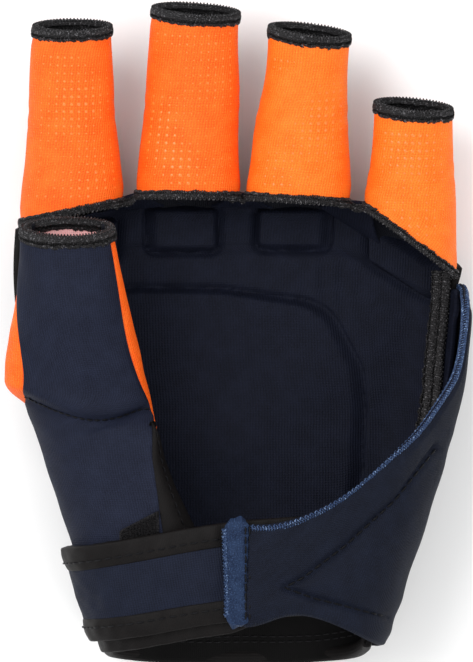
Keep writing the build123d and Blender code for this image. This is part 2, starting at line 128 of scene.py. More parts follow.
def natural(xs, ys):
    """The natural cubic spline through the points (xs, ys), as a function."""
    xs, ys = np.asarray(xs, float), np.asarray(ys, float)
    n, h = len(xs), np.diff(xs)
    system, target = np.zeros((n, n)), np.zeros(n)
    system[0, 0] = system[-1, -1] = 1
    for i in range(1, n - 1):
        system[i, i - 1 : i + 2] = h[i - 1], 2 * (h[i - 1] + h[i]), h[i]
        target[i] = 6 * ((ys[i + 1] - ys[i]) / h[i] - (ys[i] - ys[i - 1]) / h[i - 1])
    curve = np.linalg.solve(system, target)

    def at(x):
        x = np.asarray(x, float)
        i = np.clip(np.searchsorted(xs, x) - 1, 0, n - 2)
        t = x - xs[i]
        slope = (ys[i + 1] - ys[i]) / h[i] - h[i] * (2 * curve[i] + curve[i + 1]) / 6
        return ys[i] + slope * t + curve[i] / 2 * t**2 + (curve[i + 1] - curve[i]) / (6 * h[i]) * t**3

    return at


HAND = [natural(HAND_ROWS[:, 0], HAND_ROWS[:, k]) for k in range(1, 6)]


def hand_measures(y, side, top):
    """Middle, half width, bottom, top and corner radius of the hand's section, grown by side and top."""
    left, right, low, high, radius = [f(y) for f in HAND]
    return (left + right) / 2, (right - left) / 2 + side, low - side, high + top, radius + side


def ring(y, arc, side=0.0, top=0.0):
    """The point of the hand's section at an arc length from its top's middle, positive to the right."""
    y, arc = np.broadcast_arrays(np.asarray(y, float), np.asarray(arc, float))
    middle, half, low, high, r = hand_measures(y, side, top)
    d, sign = np.abs(arc), np.where(arc < 0, -1.0, 1.0)
    flat, turn, wall = half - r, r * np.pi / 2, high - low - 2 * r
    over, under = (d - flat) / r, (d - flat - turn - wall) / r
    cases = [d <= flat, d <= flat + turn, d <= flat + turn + wall, d <= flat + 2 * turn + wall]
    x = np.select(cases, [d, flat + r * np.sin(over), half, flat + r * np.cos(under)],
                  2 * flat + 2 * turn + wall - d)
    z = np.select(cases, [high, high - r + r * np.cos(over), high - r - (d - flat - turn),
                          low + r - r * np.sin(under)], low)
    return np.stack([middle + sign * x, y, z], -1)


def arc_at_height(y, z, side=0.0, top=0.0):
    """The arc length at which the hand's section passes a height on its way down one side."""
    _, half, low, high, r = hand_measures(y, side, top)
    flat, turn, wall = half - r, r * np.pi / 2, high - low - 2 * r
    over = flat + r * np.arccos(np.clip((z - high + r) / r, -1, 1))
    down = flat + turn + (high - r - z)
    under = flat + turn + wall + r * np.arcsin(np.clip((low + r - z) / r, -1, 1))
    return np.where(z >= high - r, over, np.where(z >= low + r, down, under))


def arc_at_x(y, x, side=0.0, top=0.0):
    """The signed arc length at which the upper half of the hand's section passes a plan position."""
    middle, half, _, _, r = hand_measures(y, side, top)
    flat, d = half - r, np.abs(x - middle)
    over = flat + r * np.arcsin(np.clip((d - flat) / r, 0, 1))
    return np.where(x < middle, -1.0, 1.0) * np.where(d <= flat, d, over)


def around(y, share, height, power=1.0, side=0.0):
    """Points under the hand's section, from a height on its left at share -1 to its right at share 1."""
    _, half, low, high, r = hand_measures(y, side, side)
    bottom = 2 * (half - r) + np.pi * r + high - low - 2 * r
    arc = bottom - (bottom - arc_at_height(y, height, side, side)) * np.abs(share) ** power
    return ring(y, np.where(share < 0, -arc, arc), side, side)


def waves(points, size, amount, seed):
    """A soft uneven field over points: a sum of plane waves of about one size."""
    random = np.random.default_rng(seed)
    total = np.zeros(points.shape[:-1])
    for _ in range(7):
        direction = unit(random.normal(size=3)) * 2 * np.pi / (size * random.uniform(0.7, 1.4))
        total += np.sin(points @ direction + random.uniform(0, 2 * np.pi))
    return amount * total / 3.0


def distance_to(path, x, y, closed=False):
    """Plan distance from points (x, y) to a polyline."""
    path = np.asarray(path, float)[:, :2]
    ends = np.roll(path, -1, 0) if closed else path[1:]
    starts = path if closed else path[:-1]
    best = np.full(np.shape(x), 1e9)
    for (ax, ay), (bx, by) in zip(starts, ends):
        dx, dy = bx - ax, by - ay
        t = np.clip(((x - ax) * dx + (y - ay) * dy) / (dx * dx + dy * dy + 1e-9), 0, 1)
        best = np.minimum(best, np.hypot(x - ax - t * dx, y - ay - t * dy))
    return best


def inside(path, x, y):
    """Whether points (x, y) are inside a closed polyline."""
    path = np.asarray(path, float)
    found = np.zeros(np.shape(x), bool)
    for (ax, ay), (bx, by) in zip(path, np.roll(path, -1, 0)):
        if ay == by:
            continue
        found ^= ((ay > y) != (by > y)) & (x < (bx - ax) * (y - ay) / (by - ay) + ax)
    return found


def rounded(outline, radius):
    """A closed outline with an arc of one radius at each corner."""
    points, made = np.asarray(outline, float), []
    for before, corner, after in zip(np.roll(points, 1, 0), points, np.roll(points, -1, 0)):
        p, q = unit(before - corner), unit(after - corner)
        half = np.arccos(np.clip(p @ q, -1, 1)) / 2
        room = 0.48 * min(np.linalg.norm(before - corner), np.linalg.norm(after - corner))
        reach = min(radius / np.tan(half), room)
        for t in np.linspace(0, 1, 9):
            made.append(corner + reach * ((1 - t) ** 2 * p + t**2 * q))
    return np.array(made)


def looped(points):
    """The points with the first one again at the end."""
    return np.concatenate([points, points[:1]])


def path_lengths(path):
    """The arc length from a path's start to each of its points."""
    return np.concatenate([[0], np.cumsum(np.linalg.norm(np.diff(path, axis=0), axis=1))])


def interpolate(at, places, field):
    """The rows of a field between the places where it is known."""
    return np.stack([np.interp(at, places, column) for column in field.T], -1)


def resample(path, count, *fields):
    """The path and the fields along it at equal steps of arc length, and its whole length."""
    length = path_lengths(path)
    at = np.linspace(0, length[-1], count)
    return (*[interpolate(at, length, field) for field in (path, *fields)], length[-1])


def grid_normals(grid, outward, closed):
    """Unit normals of a grid of points, turned to the side that outward points to."""
    padded = np.concatenate([grid[-1:], grid, grid[:1]]) if closed else grid
    along = np.gradient(padded, axis=0)
    along = along[1:-1] if closed else along
    n = unit(np.cross(along, np.gradient(grid, axis=1)))
    return n if np.sum(n * outward) > 0 else -n


# ---------------------------------------------------------------- meshes


def write_mesh(name, verts, faces, uvs, slots, materials):
    """A mesh object from vertices in millimetres, faces, a UV pair per corner and a slot per face."""
    mesh = bpy.data.meshes.new(name)
    mesh.from_pydata((np.asarray(verts) * MM).tolist(), [], [tuple(f) for f in faces])
    for material in materials:
        mesh.materials.append(MATERIALS[material])
    mesh.polygons.foreach_set("material_index", np.asarray(slots, np.int32))
    layer = mesh.uv_layers.new(name="cloth")
    layer.data.foreach_set("uv", np.asarray(uvs, np.float32).ravel())
    made = bmesh.new()
    made.from_mesh(mesh)
    bmesh.ops.recalc_face_normals(made, faces=made.faces)
    made.to_mesh(mesh)
    made.free()
    mesh.polygons.foreach_set("use_smooth", np.ones(len(mesh.polygons), bool))
    mesh.set_sharp_from_angle(angle=np.radians(55))
    mesh.update()
    piece = bpy.data.objects.new(name, mesh)
    bpy.context.scene.collection.objects.link(piece)
    return piece


def shell(name, outer, inner, materials, bulge, closed=False):
    """A closed sheet between two grids of points, with rounded edges. Materials: outer, inner, edge."""
    nu, nv = outer.shape[:2]
    wrap = looped(outer) if closed else outer
    wide = len(wrap)
    across, along = [np.linalg.norm(np.diff(wrap, axis=k), axis=2) for k in range(2)]
    across = np.concatenate([np.zeros((1, nv)), np.cumsum(across, 0)])
    along = np.concatenate([np.zeros((wide, 1)), np.cumsum(along, 1)], 1)
    uv = np.stack([across - across[-1:] / 2, along], -1)
    i, j = np.meshgrid(np.arange(wide - 1), np.arange(nv - 1), indexing="ij")
    corners = [(i, j), (i + 1, j), (i + 1, j + 1), (i, j + 1)]
    face = np.stack([(a % nu) * nv + b for a, b in corners], -1).reshape(-1, 4)
    face_uv = np.stack([uv[a, b] for a, b in corners], -2).reshape(-1, 4, 2)
    verts = [outer.reshape(-1, 3), inner.reshape(-1, 3)]
    faces, uvs = [face, face[:, ::-1] + nu * nv], [face_uv, face_uv[:, ::-1]]
    slots = [np.zeros(len(face), int), np.full(len(face), min(1, len(materials) - 1))]
    if closed:
        loops = [[(a, 0) for a in range(wide)], [(a, nv - 1) for a in range(wide)]]
    else:
        loops = [
            [(a, 0) for a in range(nu)]
            + [(nu - 1, b) for b in range(1, nv)]
            + [(a, nv - 1) for a in range(nu - 2, -1, -1)]
            + [(0, b) for b in range(nv - 2, -1, -1)]
        ]
    base = 2 * nu * nv
    for loop in loops:
        a, b = np.array(loop).T
        flat = (a % nu) * nv + b
        away = np.zeros((len(loop), 3))
        if not closed:
            away += np.where((a == 0)[:, None], outer[0, b] - outer[1, b], 0)
            away += np.where((a == nu - 1)[:, None], outer[-1, b] - outer[-2, b], 0)
        away += np.where((b == 0)[:, None], outer[a % nu, 0] - outer[a % nu, 1], 0)
        away += np.where((b == nv - 1)[:, None], outer[a % nu, -1] - outer[a % nu, -2], 0)
        o, n = verts[0][flat], verts[1][flat]
        middle = (o + n) / 2 + unit(away) * bulge * np.linalg.norm(o - n, axis=1, keepdims=True)
        verts.append(middle[:-1])
        count, flat, loop_uv = len(loop) - 1, flat[:-1], uv[a, b]
        edge = base + np.arange(count)
        for first, second in ((flat, edge), (edge, flat + nu * nv)):
            faces.append(np.stack([first, np.roll(first, -1), np.roll(second, -1), second], -1))
            uvs.append(np.stack([loop_uv[:-1], loop_uv[1:], loop_uv[1:], loop_uv[:-1]], 1))
            slots.append(np.full(count, len(materials) - 1))
        base += count
    return write_mesh(name, np.concatenate(verts), np.concatenate(faces), np.concatenate(uvs),
                      np.concatenate(slots), materials)


def sheet(name, outer, thickness, outward, materials, closed=False, bulge=0.42):
    """A sheet of one thickness under a grid of points, and the grid's normals."""
    n = grid_normals(outer, outward, closed)
    return shell(name, outer, outer - n * thickness, materials, bulge, closed), n


def wear(piece, slot, body, *stands_for):
    """Hides the CAD nodes that a piece replaces, and hangs it on a body if one is given. The slot is not
    used.
    """
    if stands_for:
        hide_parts(*stands_for)
    if body:
        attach(piece, body)


def bend(pieces, inner, outer, pivot, along, start, end):
    """Bakes the pieces' transforms into their meshes. The bodies, the pivot, the direction and the two
    distances are not used.
    """
    for piece in pieces:
        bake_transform(piece)


def box(node):
    """The low and the high corner of a CAD node, in millimetres."""
    return [np.array(corner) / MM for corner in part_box(node)]


def bars(name, parts, material):
    """Closed bars as one mesh. Each has rings of points, a side's width and the rings' distances."""
    verts, faces, uvs, base = [], [], [], 0
    for rings, width, along in parts:
        n, sides = rings.shape[:2]
        i, j = np.meshgrid(np.arange(n - 1), np.arange(sides), indexing="ij")
        k = (j + 1) % sides
        quad = np.stack([i * sides + j, i * sides + k, (i + 1) * sides + k, (i + 1) * sides + j], -1)
        ends = [list(range(base, base + sides)), list(range(base + (n - 1) * sides, base + n * sides))]
        faces += (quad.reshape(-1, 4) + base).tolist() + ends
        corners = ((0, 0), (1, 0), (1, 1), (0, 1))
        uv = np.stack([np.stack([(j + a) * width, along[i + b]], -1) for a, b in corners], -2)
        uvs += [uv.reshape(-1, 2), np.zeros((2 * sides, 2))]
        verts.append(rings.reshape(-1, 3))
        base += n * sides
    return write_mesh(name, np.concatenate(verts), faces, np.concatenate(uvs), np.zeros(len(faces), int),
                      [material])


def tubes(name, paths, radii, across, material, sides=6):
    """Threads: tubes along paths, as one mesh. across is a direction that no path runs along."""
    parts = []
    angle = np.linspace(0, 2 * np.pi, sides, endpoint=False)
    for path, radius, side in zip(paths, radii, across):
        t = unit(np.gradient(path, axis=0))
        p = unit(side - t * np.sum(side * t, -1, keepdims=True))
        round_it = np.cos(angle)[:, None] * p[:, None] + np.sin(angle)[:, None] * np.cross(t, p)[:, None]
        rings = path[:, None] + np.broadcast_to(radius, (len(path),))[:, None, None] * round_it
        parts.append((rings, 2 * np.pi * float(np.mean(radius)) / sides, path_lengths(path)))
    return bars(name, parts, material)


def overlock(name, edge, into, normal, height, thick, pitch, thread, over, material="black_thread"):
    """Thread wound over a cloth's edge. into points into the cloth, normal out of its face."""
    samples, steps, chain_steps, slant = 400, 14, 8, 0.5
    into, normal = [np.broadcast_to(v, edge.shape) for v in (into, normal)]
    path, into, normal, length = resample(edge, samples, into, normal)
    turns = max(3, int(round(length / pitch)))
    known = np.linspace(0, length, samples)
    phase = np.linspace(0, 2 * np.pi * turns, turns * steps)
    jitter = 1 + 0.10 * np.interp(phase, np.arange(turns + 1) * 2 * np.pi, RANDOM.normal(size=turns + 1))
    place = np.clip(phase / (2 * np.pi * turns) * length + slant * np.sin(phase), 0, length)
    c, s = np.cos(phase), np.sin(phase)
    depth = -over + (height + over) / 2 * (1 - np.sign(c) * np.abs(c) ** 0.8) * jitter
    rise = thick / 2 * np.sign(s) * np.abs(s) ** 0.65 * (1 + 0.08 * (jitter - 1))
    here, inward, outward = [interpolate(place, known, field) for field in (path, unit(into), unit(normal))]
    wound = here + inward * depth[:, None] + outward * rise[:, None]
    travel = unit(np.gradient(here, axis=0) + 1e-6)

    phase = np.linspace(0, 2 * np.pi * turns, turns * chain_steps)
    place = phase / (2 * np.pi * turns) * length
    here, inward, outward = [interpolate(place, known, field) for field in (path, unit(into), unit(normal))]
    chain = here + inward * (-over + 0.35 * np.sin(phase))[:, None]
    chain += outward * (0.45 * thick * np.sin(phase / 2))[:, None]

    core = path + unit(into) * (height * 0.42 - over / 2)
    angle = np.linspace(0, 2 * np.pi, 12, endpoint=False)
    bar = core[:, None] + unit(into)[:, None] * (np.cos(angle) * (height * 0.44 + over / 2))[:, None]
    bar = bar + unit(normal)[:, None] * (np.sin(angle) * thick * 0.46)[:, None]
    threads = tubes(name, [wound, chain], [thread, thread * 0.8], [travel, outward], material, sides=5)
    return join(name, [threads, closed_bar(name + "_core", bar, material)])


def closed_bar(name, rings, material):
    """A bar through rings of points, closed at both ends."""
    return bars(name, [(rings, 0.6, path_lengths(rings[:, 0]))], material)


def join(name, objects):
    """Several objects as one, in the first one's mesh."""
    made, first = bmesh.new(), objects[0]
    for o in objects:
        made.from_mesh(o.data)
    made.to_mesh(first.data)
    made.free()
    for o in objects[1:]:
        bpy.data.objects.remove(o)
    first.name = name
    return first


def stitches(name, path, normal, length, gap, radius, lift=0.22, double=0.0, material="stitch"):
    """A row of stitches lying on a cloth along a path, or two rows this far apart."""
    samples = 600
    path, normal, total = resample(path, samples, normal)
    at = np.linspace(0, total, samples)
    count = max(1, int(total / (length + gap)))
    paths, sides = [], []
    t = np.linspace(0, 1, 6)
    for k in range(count):
        s = (k + 0.5) * (total / count) + (t - 0.5) * length
        p, n = interpolate(s, at, path), unit(interpolate(s, at, normal))
        beside = np.cross(n, unit(np.gradient(p, axis=0)))
        for shift in ((-double / 2, double / 2) if double else (0.0,)):
            paths.append(p + n * (lift * np.sin(np.pi * t) - 0.12)[:, None] + beside * shift)
            sides.append(n)
    radii = [radius * (0.65 + 0.35 * np.sin(np.pi * t))] * len(paths)
    return tubes(name, paths, radii, sides, material)


# ---------------------------------------------------------------- materials


class Nodes:
    """A short way to write a material's nodes."""

    def __init__(self, name, on_part=False):
        self.on_part = on_part  # for a mesh without cloth coordinates
        self.material = bpy.data.materials.new(name)
        self.material.use_nodes = True
        self.tree = self.material.node_tree
        self.shader = self.tree.nodes["Principled BSDF"]

    def add(self, kind, settings=None, **inputs):
        node = self.tree.nodes.new("ShaderNode" + kind)
        for key, value in (settings or {}).items():
            setattr(node, key, value)
        for key, value in inputs.items():
            self.feed(node.inputs[int(key[1:]) if key[0] == "i" and key[1:].isdigit() else key], value)
        return node

    def feed(self, socket, value):
        if isinstance(value, bpy.types.NodeSocket):
            self.tree.links.new(value, socket)
        elif isinstance(value, bpy.types.Node):
            self.tree.links.new(value.outputs[0], socket)
        else:
            socket.default_value = value

    def math(self, operation, a, b=0.0):
        return self.add("Math", {"operation": operation}, i0=a, i1=b)

    def mix(self, share, a, b):
        node = self.add("Mix", {"data_type": "RGBA"})
        self.feed(node.inputs["Factor"], share)
        self.feed(node.inputs["A"], a)
        self.feed(node.inputs["B"], b)
        return node.outputs["Result"]

    def cloth(self):
        """The cloth's own coordinates in millimetres."""
        if self.on_part:
            place = self.add("TexCoord").outputs["Object"]
            return self.add("VectorMath", {"operation": "MULTIPLY"}, i0=place, i1=(1 / MM, 1 / MM, 1 / MM))
        return self.add("UVMap", {"uv_map": "cloth"}).outputs["UV"]

    def noise(self, scale, detail=3.0, roughness=0.55):
        return self.add("TexNoise", Vector=self.cloth(), Scale=scale, Detail=detail,
                        Roughness=roughness).outputs["Fac"]

    def ridges(self, axis, period, shift=None):
        """Ridges from 0 to 1 that repeat every period along one direction of the cloth."""
        parts = self.add("SeparateXYZ", Vector=self.cloth())
        turned = self.math("MULTIPLY", parts.outputs[axis], 2 * np.pi / period)
        if shift:
            turned = self.math("ADD", turned, shift)
        return self.math("MULTIPLY", self.math("ADD", self.math("SINE", turned), 1.0), 0.5)

    def ramp(self, value, low, high):
        """value rescaled so that low gives 0 and high gives 1."""
        return self.add("MapRange", None, Value=value, **{"From Min": low, "From Max": high})

    def finish(self, color, roughness, height, depth, sheen=0.0, sheen_tint=(1, 1, 1, 1), specular=0.3):
        self.feed(self.shader.inputs["Base Color"], color)
        self.feed(self.shader.inputs["Roughness"], roughness)
        self.shader.inputs["Sheen Weight"].default_value = sheen
        self.shader.inputs["Sheen Roughness"].default_value = 0.45
        self.shader.inputs["Sheen Tint"].default_value = sheen_tint
        self.shader.inputs["Specular IOR Level"].default_value = specular
        bump = self.add("Bump", None, Height=height, Distance=depth * MM, Strength=1.0)
        self.feed(self.shader.inputs["Normal"], bump)
        return self.material


def rgb(red, green, blue):
    """A linear colour from the values 0 to 255 that a screen shows."""
    share = np.array((red, green, blue)) / 255
    linear = np.where(share <= 0.04045, share / 12.92, ((share + 0.055) / 1.055) ** 2.4)
    return (*linear.tolist(), 1.0)


def knit(name, base, groove_shade, light, wale=0.62, course=0.55, depth=0.10, sheen=0.25, rough=0.62, specular=0.1,
         on_part=False):
    """Stretch knit: fine upright wales crossed by courses, with soft mottling. The weave's low places are
    painted darker: partly the knit's own pattern, partly painted shade in its grooves.
    """
    n = Nodes(name, on_part)
    base, groove_shade, light = rgb(*base), rgb(*groove_shade), rgb(*light)
    wander = n.math("MULTIPLY", n.noise(0.35, 2.0), 1.6)
    wales = n.ridges(0, wale, wander)
    courses = n.ridges(1, course, n.math("MULTIPLY", wales, 1.5))
    weave = n.math("ADD", n.math("MULTIPLY", wales, 0.65), n.math("MULTIPLY", courses, 0.35))
    patches = n.noise(0.16, 4.0, 0.6)
    fibre = n.noise(2.6, 2.0, 0.7)
    # painted shade: the darker colour fills the weave's low places, where its bump sinks
    tone = n.mix(n.ramp(weave, 0.0, 1.0), groove_shade, base)
    tone = n.mix(n.math("MULTIPLY", n.ramp(patches, 0.40, 0.80), 0.22), tone, light)
    tone = n.mix(n.math("MULTIPLY", n.ramp(fibre, 0.50, 0.72), 0.40), tone, light)
    height = n.math("ADD", weave, n.math("MULTIPLY", fibre, 0.5))
    return n.finish(tone, rough, height, depth, sheen, light, specular)


def thread(name, base, light, share):
    """Sewing thread: twisted plies, with painted glints: random specks of the light colour stand in for
    plies that catch the light.
    """
    n = Nodes(name)
    base, light = rgb(*base), rgb(*light)
    twist = n.ridges(1, 0.55, n.math("MULTIPLY", n.ridges(0, 0.5), 3.0))
    # painted highlight: random specks of the light colour, as glints on the thread
    painted_glint = n.noise(1.3, 3.0, 0.7)
    tone = n.mix(n.math("MULTIPLY", n.ramp(painted_glint, 0.55, 0.68), share), base, light)
    # painted highlight: the raised ridges of the twist a little lighter
    tone = n.mix(n.math("MULTIPLY", twist, 0.08), tone, light)
    return n.finish(tone, 0.5, twist, 0.05, 0.05, light, 0.15)


# wale, course, depth, sheen, roughness and specular of the cloths that come in several colours
ORANGE_KNIT = 0.85, 0.75, 0.13, 0.06, 0.6, 0.2
LAMINATE = 0.75, 0.65, 0.12, 0.02, 0.66
# The second colour of each knit is painted shade for the weave's grooves, the third its lighter mottling.
MATERIALS = dict(
    orange=knit("orange_mesh_knit", (247, 98, 14), (234, 74, 6), (255, 152, 56), *ORANGE_KNIT),
    # painted light: a lighter, yellower copy of the orange knit, for the ring and little sleeves on the
    # more brightly lit side
    painted_lit_orange=knit("painted_lit_orange_mesh_knit", (249, 112, 20), (238, 88, 8), (255, 166, 66), *ORANGE_KNIT),
    sleeve_inside=knit("sleeve_lining", (16, 17, 25), (7, 8, 12), (26, 29, 42)),
    thumb_inside=knit("thumb_lining", (243, 190, 190), (226, 156, 156), (250, 218, 216)),
    navy=knit("navy_laminate", (25, 29, 45), (15, 18, 30), (44, 51, 73), *LAMINATE),
    lining=knit("navy_jersey", (15, 18, 31), (8, 10, 19), (33, 38, 57), 0.85, 0.75, 0.13, 0.02, 0.7),
    strap=knit("navy_strap_laminate", (13, 18, 31), (8, 10, 20), (32, 40, 60), *LAMINATE),
    tape=knit("black_stretch_tape", (17, 15, 15), (8, 7, 8), (33, 29, 28), 0.5, 0.4, 0.05, 0.02, 0.55),
    neoprene=knit("black_neoprene", (5, 4, 5), (2, 2, 2), (13, 11, 12), 0.6, 0.6, 0.04, 0.02, 0.65),
    pad=knit("pad_skin", (20, 25, 42), (12, 15, 27), (32, 39, 62), 0.8, 0.8, 0.05, 0.02, 0.5, on_part=True),
    # The second colour of each thread is its painted glint colour, and the number is the share of painted
    # glints.
    black_thread=thread("black_overlock_thread", (11, 10, 11), (150, 148, 152), 0.55),
    blue_thread=thread("blue_overlock_thread", (32, 50, 84), (146, 174, 214), 0.9),
    hem=knit("blue_hem", (24, 39, 66), (14, 23, 42), (74, 100, 142), 0.45, 0.4, 0.10, 0.1, 0.6),
    hook=knit("hook_tape", (18, 17, 19), (6, 6, 6), (80, 78, 82), 0.9, 0.9, 0.3, 0.1, 0.5),
    hook_part=knit("hook_tape_patch", (18, 17, 19), (6, 6, 6), (64, 62, 66), 1.1, 1.1, 0.3, 0.1, 0.5,
                   on_part=True),
    band=knit("navy_band", (21, 26, 41), (13, 16, 27), (34, 41, 61), *LAMINATE),
    # painted glint colours and shares, as for the threads above
    hem_thread=thread("cuff_hem_thread", (16, 15, 17), (40, 40, 46), 0.3),
    stitch=thread("dark_stitching", (6, 6, 9), (24, 26, 36), 0.3),
)


def silicone():
    """Clear glossy silicone over the orange knit."""
    n = Nodes("silicone_dot")
    grain = n.noise(1.5, 2.0)
    tone = n.mix(n.ramp(grain, 0.3, 0.7), rgb(250, 106, 22), rgb(254, 122, 40))
    return n.finish(tone, 0.28, grain, 0.01, specular=0.5)


MATERIALS["silicone"] = silicone()


# ---------------------------------------------------------------- fingers


def on_sleeve(centre, up, half_wide, half_tall, theta):
    """Points on a sleeve's oval section, theta from the right over the palm side."""
    across, rise = half_wide * np.cos(theta), half_tall * np.sin(theta)
    return centre + RIGHT * across[..., None] + up * rise[..., None]


def finger_rig(name, spec):
    """A sleeve's surface and centre line by distance from its root joint, its joints and its directions."""
    root, middle = JOINTS[f"{name}_root_flex"], JOINTS[f"{name}_middle_flex"]
    knuckle, total = spec["lengths"][0], sum(spec["lengths"])
    splay = (spec["tip_x"] - root[0]) / total
    first, second = [unit(np.array([splay, np.cos(rise), np.sin(rise)])) for rise in (ROOT_RISE, TIP_RISE)]
    stations = np.array([-SLEEVE_BACK, 0, knuckle, total])
    centres = np.array([root - first * SLEEVE_BACK, root, middle, middle + second * spec["lengths"][1]])
    curves = [natural(stations, centres[:, k]) for k in range(3)]
    half_wide = natural(stations, np.array(spec["widths"]) / 2)
    half_tall = natural(stations, np.array(SLEEVE_TALL) / 2)

    def centre(v):
        return np.stack([c(v) for c in curves], -1)

    def point(theta, v, grow=0.0):
        theta, v = np.broadcast_arrays(theta, v)
        up = np.cross(RIGHT, unit(centre(v + 0.5) - centre(v - 0.5)))
        return on_sleeve(centre(v), up, half_wide(v) + grow, half_tall(v) + grow, theta)

    return dict(point=point, centre=centre, first=first, second=second, root=root, middle=middle,
                total=total)


def root_edge(rig, spec, theta):
    """Distance along the sleeve at which its root seam lies, for each angle round it."""
    (x0, y0), (x1, y1) = spec["root_line"]
    back = rig["root"][1] - 2.5
    v = np.zeros_like(theta)
    for _ in range(12):
        p = rig["point"](theta, v)
        palm = y0 + (y1 - y0) * (p[..., 0] - x0) / (x1 - x0)
        share = smooth((np.sin(theta) + 0.95) / 0.6)
        v = v + (palm * share + back * (1 - share) - p[..., 1])
    return v


def sew(piece, name, part, rig):
    """Hands a piece of a finger to bend with the two bodies that it crosses; bend only bakes its transform.
    """
    if part == "lower":
        bend([piece], "hand", f"{name}_proximal", rig["root"], rig["first"], *ROOT_BEND)
    else:
        bend([piece], f"{name}_proximal", f"{name}_distal", rig["middle"], rig["second"],
             *MIDDLE_BEND)


def make_finger(name, spec):
    """A sleeve in two parts with its dots, the bound edge of its mouth, its root seam and its pads."""
    rig, knuckle = finger_rig(name, spec), spec["lengths"][0]
    seed, round_count = sum(map(ord, name)), 112
    theta = np.linspace(0, 2 * np.pi, round_count, endpoint=False)
    start, split = root_edge(rig, spec, theta), np.full(round_count, knuckle * 0.5)
    tilt = spec["tilt"] * spec["widths"][3] / 2 * np.cos(theta) / 0.5
    rims = rig["total"] - 0.4 + spec["longer"] + tilt
    skins = [spec["cloth"], "sleeve_inside", "tape"]
    parts = {}
    for part, node, low, high, rows in (
        ("lower", "proximal", start, split, 34), ("upper", "distal", split, rims, 60)
    ):
        v = low[:, None] + (high - low)[:, None] * np.linspace(0, 1, rows)[None, :]
        p = rig["point"](theta[:, None], v)
        out = unit(p - rig["centre"](v))
        beside, from_root = np.cos(theta)[:, None], v - start[:, None]
        fold = 0.10 * np.exp(-(((v - knuckle) / 5.0) ** 2)) * np.sin(v * 1.15 + 1.5 * beside)
        flare = 1.1 * np.exp(-np.maximum(from_root, 0) / 4.0) * np.abs(beside)
        body = waves(p, 16.0, 0.10, seed) + waves(p, 38.0, 0.35, seed + 1) + flare
        edge = smooth(from_root / 6) * smooth((rig["total"] - v) / 5)
        grid = p + out * ((fold + body) * edge)[..., None]
        piece, _ = sheet(f"{name}_sleeve_{part}", grid, SLEEVE_WALL * 0.7, out, skins, closed=True,
                         bulge=0.0)
        wear(piece, "orange_knit", None, f"{name}_{node}_sleeve")
        sew(piece, name, part, rig)
        parts[part] = grid, out, low, high

    grid, out = parts["upper"][:2]
    rim = looped(grid[:, -1])
    back, normal = looped(grid[:, -8]) - rim, looped(out[:, -1])
    binding = overlock(f"{name}_tip_overlock", rim - normal * 0.5, unit(back), normal, height=2.4,
                       thick=1.9, pitch=0.46, thread=0.26, over=0.5)
    wear(binding, "black_overlock", f"{name}_distal", f"{name}_tip_binding")

    grid, out = parts["lower"][:2]
    reach = [k % round_count for k in range(-10, round_count // 2 + 4)]
    edge = grid[reach, 0]
    seam = overlock(f"{name}_root_overlock", edge, unit(grid[reach, 6] - edge), out[reach, 0], height=1.2,
                    thick=1.5, pitch=0.66, thread=0.27, over=0.9)
    wear(seam, "black_overlock", None, f"{name}_root_binding")
    sew(seam, name, "lower", rig)

    dots = {"lower": [], "upper": []}
    width = spec["widths"][1] / 2
    for v in np.arange(3.0, rig["total"] - 5.2, DOT_SPACING):
        for x in np.arange(-5, 6) * DOT_SPACING:
            angle = np.pi / 2 - np.arcsin(np.clip(x / (width - 0.8), -0.97, 0.97))
            if abs(x) > width - 2.5 or v < float(np.interp(angle, theta, start)) + 3.0:
                continue
            worn = float(waves(rig["point"](angle, v), 24.0, 1.0, seed + 5))
            size = DOT_RADIUS * float(np.clip(0.68 + 0.50 * worn + 0.08 * RANDOM.normal(), 0.35, 1.15))
            dots["lower" if v < split[0] else "upper"].append((angle, v, size))
    for part, places in dots.items():
        grid, _, low, high = parts[part]
        made = dot_mesh(f"{name}_dots_{part}", places, grid, low, high)
        wear(made, "orange_knit", None)
        sew(made, name, part, rig)
    finger_pads(name, spec, rig)


def make_crotches():
    """Between the roots of neighbouring fingers: the overlocked seam, and the web of lining under it."""
    names = list(FINGERS)
    for left, right in zip(names, names[1:]):
        ends, sides = [], []
        drop = np.linspace(0.15, -1.05, 18)
        for name, theta in ((left, drop), (right, np.pi - drop)):
            rig = finger_rig(name, FINGERS[name])
            v = root_edge(rig, FINGERS[name], theta)
            ends.append(rig["point"](theta, v)[0])
            sides.append(rig["point"](theta, v + 1.2, -0.7))
        grid = sides[0] + (sides[1] - sides[0]) * np.linspace(0, 1, 14)[:, None, None]
        web, _ = sheet(f"{left}_{right}_web", grid, 1.0, AHEAD, ["lining"])
        wear(web, "navy_lining", "hand")
        share = np.linspace(0, 1, 24)[:, None]
        path = ends[0] + (ends[1] - ends[0]) * share + np.array([0, -1.0, -0.6]) * np.sin(np.pi * share)
        seam = overlock(f"{left}_{right}_crotch_seam", path, AHEAD, UP, height=1.4, thick=1.7, pitch=0.6,
                        thread=0.27, over=0.8)
        wear(seam, "black_overlock", "hand")


